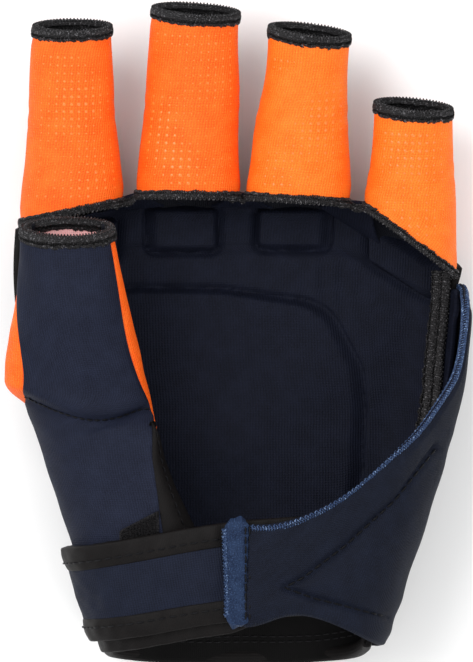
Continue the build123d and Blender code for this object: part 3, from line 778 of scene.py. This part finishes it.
def dot_mesh(name, places, grid, low, high):
    """Low silicone domes on a sleeve."""
    rings, sides = ((1.0, 0.0), (0.86, 0.6), (0.5, 0.95)), 10
    turn = np.linspace(0, 2 * np.pi, sides, endpoint=False)
    verts, faces, base = [], [], 0
    nu, nv = grid.shape[:2]
    for angle, v, size in places:
        frac = angle / (2 * np.pi) * nu
        i, i0 = int(round(frac)) % nu, int(np.floor(frac)) % nu
        i1, f = (i0 + 1) % nu, frac - np.floor(frac)
        t = (v - low[i]) / (high[i] - low[i]) * (nv - 1)
        j0 = int(np.clip(np.floor(t), 0, nv - 2))
        g = np.clip(t - j0, 0, 1)
        a, b, c, d = grid[i0, j0], grid[i1, j0], grid[i1, j0 + 1], grid[i0, j0 + 1]
        centre = (1 - f) * (1 - g) * a + f * (1 - g) * b + f * g * c + (1 - f) * g * d
        p, q = unit(b - a), unit(d - a)
        n = unit(np.cross(p, q))
        n = n if n[2] > 0 else -n
        for share, lift in rings:
            circle = centre + size * share * (np.cos(turn)[:, None] * p + np.sin(turn)[:, None] * q)
            verts.append(circle + n * (DOT_HEIGHT * lift - 0.04))
        verts += [(centre + n * DOT_HEIGHT)[None], (centre - n * 0.25)[None]]
        top = base + 3 * sides
        for k in range(sides):
            m = (k + 1) % sides
            for a in (base, base + sides):
                faces.append((a + k, a + m, a + sides + m, a + sides + k))
            faces += [(top - sides + k, top - sides + m, top), (base + m, base + k, top + 1)]
        base = top + 2
    verts = np.concatenate(verts)
    uvs = np.concatenate([verts[list(f)][:, :2] for f in faces])
    return write_mesh(name, verts, faces, uvs, np.zeros(len(faces), int), ["silicone"])


def pillow(name, frame_at, width, length, thick, bottom, grooves):
    """A stuffed pad on a cloth, with a crowned face. frame_at(x, y) gives the cloth's point and normal."""
    u, v = np.meshgrid(np.linspace(-1, 1, 26), np.linspace(-1, 1, 26), indexing="ij")
    base, out = frame_at(width / 2 * u * (1 - 0.13 * v**6), length / 2 * v * (1 - 0.13 * u**6))
    crown = ((1 - u**6) * (1 - v**6)) ** 0.42
    depth = thick * (0.18 + 0.82 * crown)
    for k in range(grooves):
        from_groove = (v - (k + 1) * 2 / (grooves + 1) + 1) * length / 2
        depth -= 0.8 * np.exp(-((from_groove / 0.8) ** 2)) * crown
    outer = base + out * depth[..., None]
    outer[..., 2] = np.maximum(outer[..., 2], bottom)
    return shell(name, outer, base, ["pad"], bulge=0.15)


def stuff(cushion, body, *stands_for):
    """Hides what a pad replaces, and hangs it on the body that it rides on."""
    wear(cushion, "pad_skin", body, *stands_for)


def finger_pads(name, spec, rig):
    """The pads on the back of a finger."""
    knuckle, total = spec["lengths"][0], sum(spec["lengths"])
    for part, ahead, low, high in (
        ("proximal", "first", 0.0, knuckle), ("distal", "second", knuckle, total - 4.0)
    ):
        middle = (low + high) / 2

        def under_finger(x, y):
            v = middle + y
            half = np.interp(v, [0, knuckle, total], np.array(spec["widths"][1:]) / 2)
            p = rig["point"](-np.pi / 2 + np.arcsin(np.clip(x / half, -1, 1)), v, 0.25)
            return p, np.broadcast_to(np.cross(rig[ahead], RIGHT), p.shape)

        cushion = pillow(f"{name}_{part}_pad_cushion", under_finger, spec["pad"] - 0.6, high - low - 5.0,
                         5.3, bottom=0.3, grooves=1)
        stuff(cushion, f"{name}_{part}", f"{name}_{part}_pad")


# ---------------------------------------------------------------- back of the hand

BACK_PAD = rounded([(-46, 13), (-4, 12.4), (26, 8), (36.5, -12), (36.5, -40), (32, -60), (-26, -60),
                    (-44, -26)], 16)
KNUCKLES = {
    "index": rounded([(-60, 18.5), (-34, 20.5), (-34, 34), (-60, 29)], 2.5),
    "middle": rounded([(-26, 23), (-5, 23), (-5, 36.8), (-26, 36.8)], 3),
    "ring": rounded([(5.4, 23.7), (26.8, 23.7), (26.8, 36.6), (5.4, 36.6)], 3),
    "little": rounded([(38, 20), (57.6, 7.6), (57.6, 19.8), (38, 33.4)], 2.5),
}


def lining_relief(x, y):
    """How far the pads press up through the palm's lining."""
    relief = np.zeros(np.shape(x))
    for outline, swell, groove in [(BACK_PAD, 1.9, 1.3)] + [(k, 1.5, 1.9) for k in KNUCKLES.values()]:
        d = distance_to(outline, x, y, closed=True)
        signed = np.where(inside(outline, x, y), d, -d)
        relief += swell * smooth((signed + 0.3) / 2.4) - groove * np.exp(-((signed / 1.1) ** 2))
    return relief


def make_back():
    """The lining of the back of the hand, which the open palm shows."""
    front_x = [-64, -47, -31, -14, 2, 18, 35, 41, 50, 57, 63, 66]
    front_y = [29.5, 33.5, 38.6, 37.2, 38.6, 36.6, 37.8, 35.5, 29.5, 25.0, 19.5, 16.0]
    share = np.linspace(-1, 1, 210)[:, None]
    x_guess = 64 * np.sin(share * np.pi / 2.6) / np.sin(np.pi / 2.6)
    y = -62.5 + (np.interp(x_guess, front_x, front_y) + 62.5) * np.linspace(0, 1, 190)[None, :]
    rim = np.where(share < 0, 17.0 + 5.0 * smooth((y + 30) / 40), 16.0)
    inner, outer = around(y, share, rim, 0.92, -LINER_WALL), around(y, share, rim, 0.92)
    up = unit(inner - outer)
    x, y = inner[..., 0], inner[..., 1]
    gathers = np.sin(1.15 * x + 0.6 * np.sin(y / 7)) * np.exp(-(((x - 27) / 9) ** 2) - ((y - 14) / 9) ** 2)
    height = lining_relief(x, y) + waves(inner, 22, 0.25, 3) + 0.28 * gathers
    inner = inner + up * (height * smooth((rim - inner[..., 2] + 4) / 6))[..., None]
    over_sleeve = 1.5 * smooth((outer[..., 0] - 38) / 7) * smooth((outer[..., 1] - 10) / 9)
    outer = outer - up * (0.15 + waves(outer, 26, 0.15, 4) + over_sleeve)[..., None]
    skins = ["lining", "navy", "tape"]
    cloth = shell("back_cloth", inner, outer, skins, bulge=0.2)
    wear(cloth, "navy_lining", "hand", "back_liner", "index_side_panel")


def make_side():
    """The lining above the tray on the little finger side, and the double overlocked seam along it."""
    inset = -0.4
    y = np.linspace(-63, 11.5, 120)[None, :]
    low = arc_at_height(y, 15.0, inset, inset)
    high = arc_at_height(y, 30.0 - 8 * smooth((y - 2) / 9), inset, inset)
    outer = ring(y, low + (high - low) * np.linspace(0, 1, 24)[:, None], inset, inset)
    inward = np.array([-1.0, 0, 0.3])
    outer = outer + unit(inward) * waves(outer, 20, 0.25, 9)[..., None]
    cloth, _ = sheet("side_lining", outer, 1.5, -inward, ["lining"])
    wear(cloth, "navy_lining", "hand", "side_panel")
    y = np.linspace(-58, 17.5, 94)
    inset = -LINER_WALL - 0.4
    wall = ring(y, arc_at_height(y, 18.5 + 8 * smooth((-2 - y) / 36), inset, inset), inset, inset)
    down, face = unit(np.array([-0.86, 0.0, -0.5])), unit(np.array([-0.5, 0.0, 0.86]))
    rows = [overlock(f"side_row_{k}", wall + down * (0.4 + 2.9 * k), down, face, height=2.6, thick=1.5,
                     pitch=0.72, thread=0.3, over=0.2) for k in range(2)]
    wear(join("side_seam", rows), "black_overlock", "hand", "side_overlock")


def make_cuff():
    """The neoprene round the wrist and its bound hem."""
    share = np.linspace(-1, 1, 150)[:, None]
    hem = -96.6 + 5.6 * np.abs(share) ** 3
    y = hem + (-61.5 - hem) * np.linspace(0, 1, 44)[None, :]
    outer = around(y, share, 30.0)
    outward = outer * [1, 0, 1] - UP * 26
    free = smooth((-62.5 - y) / 6)
    outer = outer + unit(outward) * (waves(outer, 18, 0.35, 12) * free - 0.6 * (1 - free))[..., None]
    cloth, n = sheet("cuff_cloth", outer, LINER_WALL, outward, ["neoprene"])
    inside_line = outer[:, 8] - n[:, 8] * (LINER_WALL + 0.1)
    rows = stitches("cuff_hem_stitches", inside_line, -n[:, 8], 1.9, 0.7, 0.24, double=1.6,
                    material="hem_thread")
    wear(rows, "black_overlock", "hand")
    wear(cloth, "cuff_neoprene", "hand", "cuff_lining")

    out = unit(outward[:, 0])
    centre = outer[:, 0] - out * LINER_WALL / 2 + AHEAD * 1.3
    angle = np.linspace(0, 2 * np.pi, 16, endpoint=False)
    c, s = np.cos(angle), np.sin(angle)
    bar = centre[:, None] + AHEAD * (np.sign(c) * np.abs(c) ** 0.7 * 2.2)[:, None]
    bar = bar + out[:, None] * (np.sign(s) * np.abs(s) ** 0.7 * 1.45)[:, None]
    wear(closed_bar("cuff_hem", bar, "tape"), "black_binding", "hand", "cuff_binding")


def filled(outline, count):
    """A square grid of points pressed into a closed outline, and how near each is to it, from 0 to 1."""
    steps = np.linspace(-1, 1, count)
    v, u = np.meshgrid(steps, steps, indexing="ij")
    level = np.maximum(np.abs(u), np.abs(v))
    p, q = u / np.maximum(level, 1e-9), v / np.maximum(level, 1e-9)
    turn = np.select([p >= 1, q >= 1, p <= -1], [(q + 1) / 2, (3 - p) / 2, (5 - q) / 2], (7 + p) / 2) / 4
    closed = looped(outline)
    length = path_lengths(closed)
    middle = outline.mean(0)
    return middle + (interpolate(turn * length[-1], length, closed) - middle) * level[..., None], level


def make_back_pads():
    """The foam pads under the hand, each crowned, and flat where it lies on the floor."""
    groups = [(f"{k}_knuckle_pad", outline, 61) for k, outline in KNUCKLES.items()]
    for name, outline, count in [("metacarpal_pad", BACK_PAD, 131)] + groups:
        low, high = box(f"{name}_cover")
        span = outline.max(0) - outline.min(0)
        fitted = (outline - outline.min(0)) / span * (high - low)[:2] + low[:2]
        plan, level = filled(fitted, count)
        edge = np.where(level >= 1, 0, distance_to(fitted, plan[..., 0], plan[..., 1], closed=True))
        depth = high[2] * smooth(0.5 + edge / 5.0 * 0.5) ** 0.6
        for channel in (-40, -17, 6) if outline is BACK_PAD else ():
            depth -= 1.3 * np.exp(-(((plan[..., 1] - channel) / 1.3) ** 2)) * smooth(edge / 6)
        lower = np.concatenate([plan, (high[2] - depth)[..., None]], -1)
        upper = np.concatenate([plan, np.full(plan.shape[:2] + (1,), high[2])], -1)
        cushion = shell(f"{name}_cushion", lower, upper, ["pad"], bulge=0.1)
        stuff(cushion, "hand", f"{name}_cover", f"{name}_foam")


# ---------------------------------------------------------------- thumb

THUMB = [natural(THUMB_ROWS[:, 0], THUMB_ROWS[:, k]) for k in range(1, 5)]
THUMB_UP = np.array([0.0, -np.sin(THUMB_RISE), np.cos(THUMB_RISE)])
SEAM = natural([-62, -51, -41.6, -33, -26], [-19.0, -23.3, -25.6, -25.0, -22.5])
RIGHT_GUSSET = natural([-30, -22, -12, -2, 12, 31], [0, 12, 25, 31, 29, 24])
LEFT_GUSSET = natural([-30, -22, -15, -7, 3, 13, 22, 31], [8, 28, 42, 40, 25, 7, -4, -8])
BALL_EDGE = [-62, -54, -37, -28, -12], [-21, -22.2, -24.6, -24.6, -24.6]  # y and x of its right edge


def thumb_point(theta, y, grow=0.0):
    """On the thumb sleeve, theta from the right over the front. Its mouth is pressed a little flat."""
    left, right, middle, tall = [f(y) for f in THUMB]
    tall = tall - 3.4 * smooth((y - 8) / 22)
    tilt = THUMB_RISE + THUMB_FLARE * smooth((y - 12) / 19)
    up = np.stack([np.zeros_like(tilt), -np.sin(tilt), np.cos(tilt)], -1)
    centre = np.stack([(left + right) / 2, y, middle], -1)
    return on_sleeve(centre, up, (right - left) / 2 + grow, tall / 2 + grow, theta)


def gusset_edges(y):
    """The angles at which the front panel meets the right and the left gusset."""
    right, left = [np.radians(side(np.clip(y, -30, 31))) for side in (RIGHT_GUSSET, LEFT_GUSSET)]
    return right, np.pi - left


def thumb_base(theta, y, share):
    """The thumb sleeve as it grows out of the ball of the thumb, and y of the seam between them."""
    sleeve = thumb_point(theta, y)
    y_shell = np.minimum(y, -12)
    left = -arc_at_height(y_shell, 17.0, 0.1, 0.1)
    right = arc_at_x(y_shell, np.interp(y_shell, *BALL_EDGE), 0.1, 0.1)
    ball = ring(y_shell, right + (left - right) * share, 0.1, 0.1)
    ball[..., 1] = y
    seam = SEAM(np.clip(sleeve[..., 0], -62, -26))
    turn = smooth((y - seam + 7) / 12)[..., None]
    return ball * (1 - turn) + sleeve * turn, seam


def darken(piece, slot):
    """Ends the thumb's pink lining inside the sleeve. Behind that the lining has another slot."""
    for polygon in piece.data.polygons:
        if polygon.material_index == 1 and polygon.center.y < THUMB_LINED * MM:
            polygon.material_index = slot


def thumb_front():
    """The front panel with the panel over the ball of the thumb, and the stitches along their seam."""
    share = np.linspace(0, 1, 96)[:, None]  # from the right edge to the left
    y = np.broadcast_to(np.linspace(-63.0, THUMB_HEM, 170)[None, :], (96, 170))
    right, left = gusset_edges(y)
    outer, seam = thumb_base(right + (left - right) * share, y, share)
    from_seam = outer[..., 1] - seam
    out = unit(outer - np.array([-44.0, 0, 20.0]) - outer * AHEAD)
    crease = -1.1 * np.exp(-((from_seam / 1.0) ** 2))
    crease += 0.8 * np.exp(-(((np.abs(from_seam) - 3.6) / 2.6) ** 2))
    body = waves(outer, 24, 0.45, 21) + waves(outer, 11, 0.16, 22)
    edges = smooth(share * 14) * smooth((1 - share) * 14)
    outer = outer + out * ((crease * (0.35 + 0.65 * edges)) + body * edges)[..., None]
    skins = ["navy", "thumb_inside", "navy"]
    front, n = sheet("thumb_front_cloth", outer, 1.2, out, skins)
    darken(front, 2)
    wear(front, "navy_fabric", None, "thumb_front_panel", "thumb_base_panel")

    on_seam = np.arange(96), np.argmin(np.abs(from_seam), axis=1)
    path = outer[on_seam] + n[on_seam] * 0.25
    path[:, 1] = seam[on_seam]
    row = stitches("thumb_seam_stitches", path, n[on_seam], 1.7, 0.5, 0.26, 0.25)
    wear(row, "black_overlock", None)
    return [front, row]


def thumb_gusset(name, start, swell):
    """An orange gusset beside the front panel, from its start to the thumb's hem."""
    share = np.linspace(0, 1, 24)[:, None]
    y = np.broadcast_to(np.linspace(start, THUMB_HEM, 90)[None, :], (24, 90))
    right, left = gusset_edges(y)
    if name == "thumb_inner_gusset":
        theta = -0.54 + (right + 0.62) * share
        grid = thumb_point(theta, y)
    else:
        theta = left - 0.10 + (np.pi + 0.70 - left) * share
        grid, _ = thumb_base(theta, y, 0.94 + 0.14 * share)
    centre = thumb_point(theta, y, -8)
    bump = swell * np.sin(np.pi * share) * smooth((y - start) / 9) * smooth((14 - y) / 22)
    bump = bump - 1.0 * smooth(1 - np.minimum(share, 1 - share) / 0.16)
    grid = grid + unit(grid - centre) * (bump + waves(grid, 9, 0.12, 31) - 0.3)[..., None]
    gusset, _ = sheet(f"{name}_cloth", grid, 1.0, grid - centre, ["orange", "sleeve_inside"])
    wear(gusset, "orange_knit", None, name)
    return gusset


def thumb_back():
    """The back of the thumb sleeve. Its left edge is tucked in where it meets the ball of the thumb."""
    theta = np.linspace(np.pi + 0.38, 2 * np.pi - 0.38, 60)[:, None]
    y = np.broadcast_to(np.linspace(-27.5, THUMB_HEM, 80)[None, :], (60, 80))
    theta = np.broadcast_to(theta, y.shape)
    grid, centre = thumb_point(theta, y), thumb_point(theta, y, -8)
    grid = grid + unit(grid - centre) * waves(grid, 16, 0.3, 33)[..., None]
    tucked = smooth((-11 - grid[..., 1]) / 9) * smooth((-50 - grid[..., 0]) / 8)
    grid[..., 0] += (-56 - grid[..., 0]) * tucked
    skins = ["tape", "thumb_inside", "tape"]
    back, _ = sheet("thumb_back_cloth", grid, 1.2, grid - centre, skins)
    darken(back, 0)
    wear(back, "back_fabric", None, "thumb_back_panel")
    return back


def make_thumb():
    """The thumb sleeve's panels and gussets, the bound edge of its mouth and its pad."""
    pieces = [*thumb_front(), thumb_gusset("thumb_inner_gusset", -28.5, 0.3),
              thumb_gusset("thumb_outer_gusset", -23.5, 0.8), thumb_back()]
    bend(pieces, "hand", "thumb", JOINTS["thumb_flex"], AHEAD, -10, 10)

    theta, hem = np.linspace(0, 2 * np.pi, 120), np.full(120, THUMB_HEM)
    rim = thumb_point(theta, hem)
    into, out = unit(thumb_point(theta, hem - 3.0) - rim), unit(rim - thumb_point(theta, hem, -8))
    binding = overlock("thumb_rim_overlock", rim - out * 0.5, into, out, height=2.8, thick=2.2, pitch=0.48,
                       thread=0.28, over=0.5)
    wear(binding, "black_overlock", "thumb", "thumb_rim_binding")

    low, high = box("thumb_pad_cover")

    def under_thumb(x, v):
        y = (low[1] + high[1]) / 2 + v
        left, right = THUMB[0](y), THUMB[1](y)
        p = thumb_point(-np.pi / 2 + np.arcsin(np.clip(x / ((right - left) / 2), -1, 1)), y, 0.25)
        return p, np.broadcast_to(-THUMB_UP, p.shape)

    cushion = pillow("thumb_pad_cushion", under_thumb, 21, high[1] - low[1] - 2, 4.6, bottom=3.0, grooves=2)
    stuff(cushion, "thumb", "thumb_pad_cover", "thumb_pad_foam")


def make_thumb_crotch():
    """The stretch binding between the ball of the thumb and the open palm."""
    y = np.linspace(-26.5, -61.5, 70)[None, :]
    share = np.linspace(0, 1, 22)[:, None]
    start = np.interp(-y, [26.5, 28, 37, 54, 62], [-24.6, -24.4, -24.4, -21.9, -20.6])
    width = np.interp(-y, [26.5, 30, 45, 57, 62], [0.6, 2.2, 5.6, 9.6, 10.2])
    outer = ring(y, arc_at_x(y, start + width * share))
    sink = 5.5 * share**2 * smooth((-y - 27) / 12)
    outer = outer - UP * (sink + 0.3 - 0.5 * np.sin(np.pi * share))[..., None]
    tape, n = sheet("thumb_crotch_tape", outer, 1.4, UP, ["tape"])
    wear(tape, "black_binding", "hand", "thumb_crotch_binding")
    row = stitches("thumb_crotch_stitches", outer[14, 4:] + n[14, 4:] * 0.2, n[14, 4:], 1.8, 0.7, 0.2)
    wear(row, "black_binding", "hand")


def make_hook_patch():
    """The patch of hooks at the lower corner of the ball of the thumb."""
    above = 0.9
    low, high = box("thumb_base_hook_patch")
    x, share = np.linspace(low[0] + 0.5, high[0] + 2.4, 26), np.linspace(0, 1, 20)
    x, share = np.meshgrid(x, share, indexing="ij")
    y = low[1] + share * (2.5 + (x - low[0]) * 0.52)
    grid = ring(y, arc_at_x(y, x, above, above), above, above)
    patch, _ = sheet("hook_patch", grid, 0.7, UP, ["hook"])
    t = np.linspace(0, np.pi, 6)[:, None]
    loops = []
    for place in grid[1:25, 1:19].reshape(-1, 3):
        lean = unit(RANDOM.normal(size=3) * np.array([1, 1, 0.2]))
        loops.append(place + lean * 0.4 * np.cos(t) + np.array([0, 0, 0.55]) * np.sin(t))
    fuzz = tubes("hook_loops", loops, [0.07] * len(loops), [np.array([0.3, 0.2, 0.9])] * len(loops),
                 "black_thread", sides=4)
    wear(join("hook_patch", [patch, fuzz]), "hook_tape", "hand", "thumb_base_hook_patch")


# ---------------------------------------------------------------- straps

FREE_EDGE = natural([-2.7, 10, 21, 33, 46, 55.5, 62, 65.8, 67.6],
                    [-55.5, -56.4, -53.2, -46.2, -35, -26, -16, -3, 9.5])
LOWER_EDGE = natural([-2.7, 4, 15, 24, 33, 40, 46], [-84.2, -84.4, -81.4, -82.2, -85.6, -89.4, -92.2])
V_STITCH = [(57.5, -34), (45.5, -48.7), (31.5, -61.6), (19, -71), (13.8, -73.8), (22, -76.8), (33, -79.6),
            (43, -82.4)]
BAND_TOP = natural([-60, -48, -3, 21], [-70.6, -69.6, -62, -60])
BAND_LOW = natural([-60, -44, -3, 21], [-84.4, -83.6, -77.5, -75.5])


def strap_places(*counts):
    """Places along a strap, with a number of steps from each whole one to the next, up to its base at 3."""
    steps = [np.linspace(k, k + 1, count, endpoint=k == 2) for k, count in enumerate(counts)]
    return np.concatenate(steps)


def strap_point(c, y, side, top, tip=WRAP_TIP, sign=1):
    """On a strap: c from 0 at its tip to 1 at the corner, 2 at the side and 3 at its base.

    It goes round the hand's right side if sign is 1, and round its left side if it is -1."""
    middle, half, _, _, r = hand_measures(y, side, top)
    flat, tip = half - r, sign * (tip - middle)
    corner, end = flat + r * np.pi / 2, arc_at_height(y, STRAP_BASE, side, top)
    arc = np.select([c <= 1, c <= 2], [tip + (flat - tip) * c, flat + r * np.pi / 2 * (c - 1)],
                    corner + (end - corner) * (c - 2))
    return ring(y, sign * arc, side, top)


def band_point(c, y, grow):
    """On the thumb-side strap, which goes round the left side under the wrap strap."""
    return strap_point(c, y, grow, grow, BAND_TIP, -1)


def strap_edges(c):
    """y of the wrap strap's free edge and of its lower edge for each place c along it."""
    free, lower = np.full_like(c, -30.0), np.full_like(c, -85.0)
    flat_c = np.minimum(c, 2.0)
    for _ in range(60):
        free_x, lower_x = [strap_point(flat_c, y, WRAP_SIDE, WRAP_TOP)[..., 0] for y in (free, lower)]
        free += 0.3 * (FREE_EDGE(np.clip(free_x, -2.7, 67.6)) - free)
        lower += 0.3 * (LOWER_EDGE(np.clip(lower_x, -2.7, 46)) - lower)
    down = smooth(c - 2)
    return free * (1 - down) + 13.0 * down, lower * (1 - down) - 91.5 * down


def on_grid(grid, normals, plan):
    """The points of a grid's upper side, and its normals, nearest in plan to a list of plan positions."""
    flat, n = grid.reshape(-1, 3), normals.reshape(-1, 3)
    upper = flat[:, 2] > 33
    flat, n = flat[upper], n[upper]
    found, faces = [], []
    for p in plan:
        d = np.hypot(flat[:, 0] - p[0], flat[:, 1] - p[1])
        near = np.argsort(d)[:4]
        w = 1 / (d[near] + 0.05)
        found.append((flat[near] * w[:, None]).sum(0) / w.sum())
        faces.append((n[near] * w[:, None]).sum(0) / w.sum())
    found = np.array(found)
    found[:, :2] = plan
    return found, unit(np.array(faces))


def bend_strap(name, pieces):
    """Hands a strap's pieces to bend, which only bakes their transforms."""
    bend(pieces, "hand", name, JOINTS[f"{name}_open"] * [1, 1, 0], UP, *STRAP_BEND)


def wrap_hem(free, lower):
    """The folded hem at the wrap strap's end, between the heights of its two edges, and its threads."""
    c = np.linspace(0, 1, 18)[:, None]
    corner = (1 - np.sqrt(1 - (2 * c - 1) ** 2)) * np.where(c < 0.5, 2.3, 1.2)
    low, high = lower - 0.4, free + 0.9
    y = low + corner + (high - low - 2 * corner) * np.linspace(0, 1, 110)[None, :]
    x = WRAP_TIP - 0.6 + (WRAP_HEM + 0.9) * c
    x = x + 0.35 * np.sin(y / 7.0) * (1 - c)
    top = ring(y, arc_at_x(y, x, WRAP_SIDE, WRAP_TOP), WRAP_SIDE, WRAP_TOP)
    crown = 0.75 * np.sin(np.pi * c) ** 0.5 + 0.12 * np.sin(y * 2.1 + 2 * np.sin(x))
    top = top + UP * (crown + waves(top, 6, 0.12, 44))[..., None]
    hem, n = sheet("wrap_strap_hem", top, 3.3, UP, ["hem"], bulge=0.35)
    wear(hem, "blue_overlock", None, "wrap_strap_end_hem")
    zigzag = overlock("wrap_strap_hem_thread", top[0] - UP * 1.2, RIGHT, UP, height=1.3, thick=3.5,
                      pitch=0.95, thread=0.22, over=0.2, material="blue_thread")
    wear(zigzag, "blue_overlock", None)
    double = stitches("wrap_strap_hem_stitches", top[-2, 3:-3] + UP * 0.35, n[-2, 3:-3], 2.2, 0.5, 0.28,
                      double=1.3)
    wear(double, "black_overlock", None)
    return [hem, zigzag, double]


def make_wrap_strap():
    """The strap from the little finger side over the wrist, with its blue edge, hem and V of stitching."""
    c = strap_places(90, 70, 50)
    free, lower = strap_edges(c)
    ends = free[0], lower[0]
    c, free, lower = c[:, None], free[:, None], lower[:, None]
    y = lower + (free - lower) * np.linspace(0, 1, 110)[None, :]
    grid = strap_point(np.broadcast_to(c, y.shape), y, WRAP_SIDE, WRAP_TOP)
    x, y = grid[..., 0], grid[..., 1]
    d = distance_to(V_STITCH, x, y)
    relief = -1.0 * np.exp(-((d / 1.0) ** 2)) * smooth((2.3 - c) / 0.5)
    relief += 0.9 * smooth(d / 7) * smooth((y - lower) / 5) * smooth((free - y) / 5)
    relief += waves(grid, 26, 0.5, 41) * smooth((x + 2) / 14)
    relief += 2.2 * smooth((-67 - y) / 25) * smooth((c - 0.8) / 0.5) * smooth((3 - c) / 0.6)
    outward = grid * [1, 0, 1] - np.array([10.0, 0, 24.0])
    grid = grid + grid_normals(grid, outward, False) * relief[..., None]
    keep = (grid[:, 0, 0] > WRAP_TIP + WRAP_HEM - 1.0) | (c[:, 0] > 1)
    kept = grid[keep]
    skins = ["strap", "lining", "strap"]
    body, n = sheet("wrap_strap_cloth", kept, 2.2, outward[keep], skins)
    wear(body, "navy_fabric", None, "wrap_strap_panel", "wrap_strap_base")

    edge = kept[:, -1]
    border = overlock("wrap_strap_edge_thread", edge - n[:, -1] * 1.0, unit(kept[:, -5] - edge), n[:, -1],
                      height=1.2, thick=2.2, pitch=0.78, thread=0.23, over=0.3, material="blue_thread")
    wear(border, "blue_overlock", None, "wrap_strap_overlock")

    path = np.array(V_STITCH, float)
    fine = np.concatenate([np.linspace(p, q, 12, endpoint=False) for p, q in zip(path, path[1:])])
    points, faces = on_grid(grid, grid_normals(grid, outward, False), fine)
    row = stitches("wrap_strap_v_stitches", points + faces * 0.15, faces, 2.3, 0.7, 0.27)
    wear(row, "black_overlock", None)

    with_body = [border, row, *wrap_hem(*ends)]
    bend_strap("wrap_strap", [body, *with_body])


def make_thumb_strap():
    """The band from the thumb side: navy cloth between two bindings, over a black lining."""
    c = strap_places(80, 50, 30)
    top, low = np.full_like(c, -65.0), np.full_like(c, -80.0)
    for _ in range(50):
        top += 0.5 * (BAND_TOP(band_point(np.minimum(c, 2), top, BAND_LAYER)[:, 0]) - top)
        low += 0.5 * (BAND_LOW(band_point(np.minimum(c, 2), low, BAND_LAYER)[:, 0]) - low)

    def strip(name, y0, y1, grow, thick, crown, material, slot, *stands_for):
        t = np.linspace(0, 1, 26)[None, :]
        y = y0[:, None] + (y1 - y0)[:, None] * t
        grid = band_point(np.broadcast_to(c[:, None], y.shape), y, grow)
        outward = grid * [1, 0, 1] - UP * 24
        bump = crown * np.sin(np.pi * t) ** 0.5 + waves(grid, 18, 0.3, 51) + waves(grid, 6, 0.14, 52)
        grid = grid + grid_normals(grid, outward, False) * bump[..., None]
        piece, n = sheet(name, grid, thick, outward, [material])
        wear(piece, slot, None, *stands_for)
        return piece, grid, n

    body, band, _ = strip("thumb_strap_cloth", low - 1.5, top + 1.5, BAND_LAYER - 0.2, 2.0, 0.5, "band",
                          "navy_fabric", "thumb_strap_panel", "thumb_strap_base")
    with_body = []
    for name, y0, y1, middle, node in (
        ("thumb_strap_upper_tape", top, top + 6.6, 9, "thumb_strap_top_binding"),
        ("thumb_strap_lower_tape", low - 6.4, low, 16, "thumb_strap_bottom_binding"),
    ):
        tape, grid, n = strip(name, y0, y1, BAND_LAYER + 0.1, 2.6, 0.55, "tape", "black_binding", node)
        n = n[:, middle]
        row = stitches(f"{name}_stitches", grid[:, middle] + n * 0.15, n, 2.2, 0.9, 0.24)
        wear(row, "black_binding", None)
        with_body += [tape, row]
    flap = 2.5 + 7.0 * smooth(c / 0.55)
    lining, _, _ = strip("thumb_strap_lining", low - flap, low + 2, 0.9, 1.0, 0.0, "tape", "black_binding")
    with_body.append(lining)
    bend_strap("thumb_strap", [body, *with_body])


# ---------------------------------------------------------------- the scene


def make_camera():
    """A long lens straight over the palm, with the fingers pointing up in the picture."""
    data = bpy.data.cameras.new("camera")
    camera = bpy.data.objects.new("camera", data)
    bpy.context.scene.collection.objects.link(camera)
    bpy.context.scene.camera = camera
    distance, reference, tall = 2.4, 0.030, 0.1922  # metres: to the floor, a height, and what is seen at it
    data.sensor_width = 36.0
    data.lens = data.sensor_width * (distance - reference) / tall
    camera.location = (0.0, 0.0, distance)
    data.clip_start, data.clip_end = 0.05, 20


def area_light(name, place, size, power):
    """A square light that shines at the origin."""
    data = bpy.data.lights.new(name, "AREA")
    data.size, data.energy = size, power
    light = bpy.data.objects.new(name, data)
    light.location = place
    light.rotation_mode = "QUATERNION"
    light.rotation_quaternion = (-Vector(place)).to_track_quat("-Z", "Y")
    bpy.context.scene.collection.objects.link(light)


def make_stage():
    """The pale floor, two soft lights and the even light of the studio."""
    scene = bpy.context.scene
    scene.view_settings.view_transform = "Standard"
    scene.view_settings.look = "None"
    scene.view_settings.exposure = 0.0
    world = bpy.data.worlds.new("studio")
    world.use_nodes = True
    background = world.node_tree.nodes["Background"]
    background.inputs["Color"].default_value = (1, 1, 1, 1)
    background.inputs["Strength"].default_value = 0.86
    scene.world = world
    area_light("key", (-0.5, 0.35, 0.9), 0.7, 7.8)
    area_light("fill", (0.6, -0.4, 0.9), 1.0, 4.4)
    mesh = bpy.data.meshes.new("floor")
    half = 3.0
    corners = [(-half, -half, 0), (half, -half, 0), (half, half, 0), (-half, half, 0)]
    mesh.from_pydata(corners, [], [range(4)])
    floor = bpy.data.objects.new("floor", mesh)
    floor.location.z = -0.0002
    paper = Nodes("pale_paper", on_part=True)
    mesh.materials.append(paper.finish((0.93, 0.93, 0.93, 1), 0.9, paper.noise(0.4), 0.02))
    scene.collection.objects.link(floor)


for finger, data in FINGERS.items():
    make_finger(finger, data)
make_back()
make_crotches()
make_side()
make_cuff()
make_back_pads()
make_thumb()
make_thumb_crotch()
make_hook_patch()
make_wrap_strap()
make_thumb_strap()
for node in ("wrap_strap_hook_patch", "thumb_strap_loop_patch"):
    materials = frame["nodes"][node].data.materials
    materials.clear()
    materials.append(MATERIALS["hook_part"])
make_camera()
make_stage()
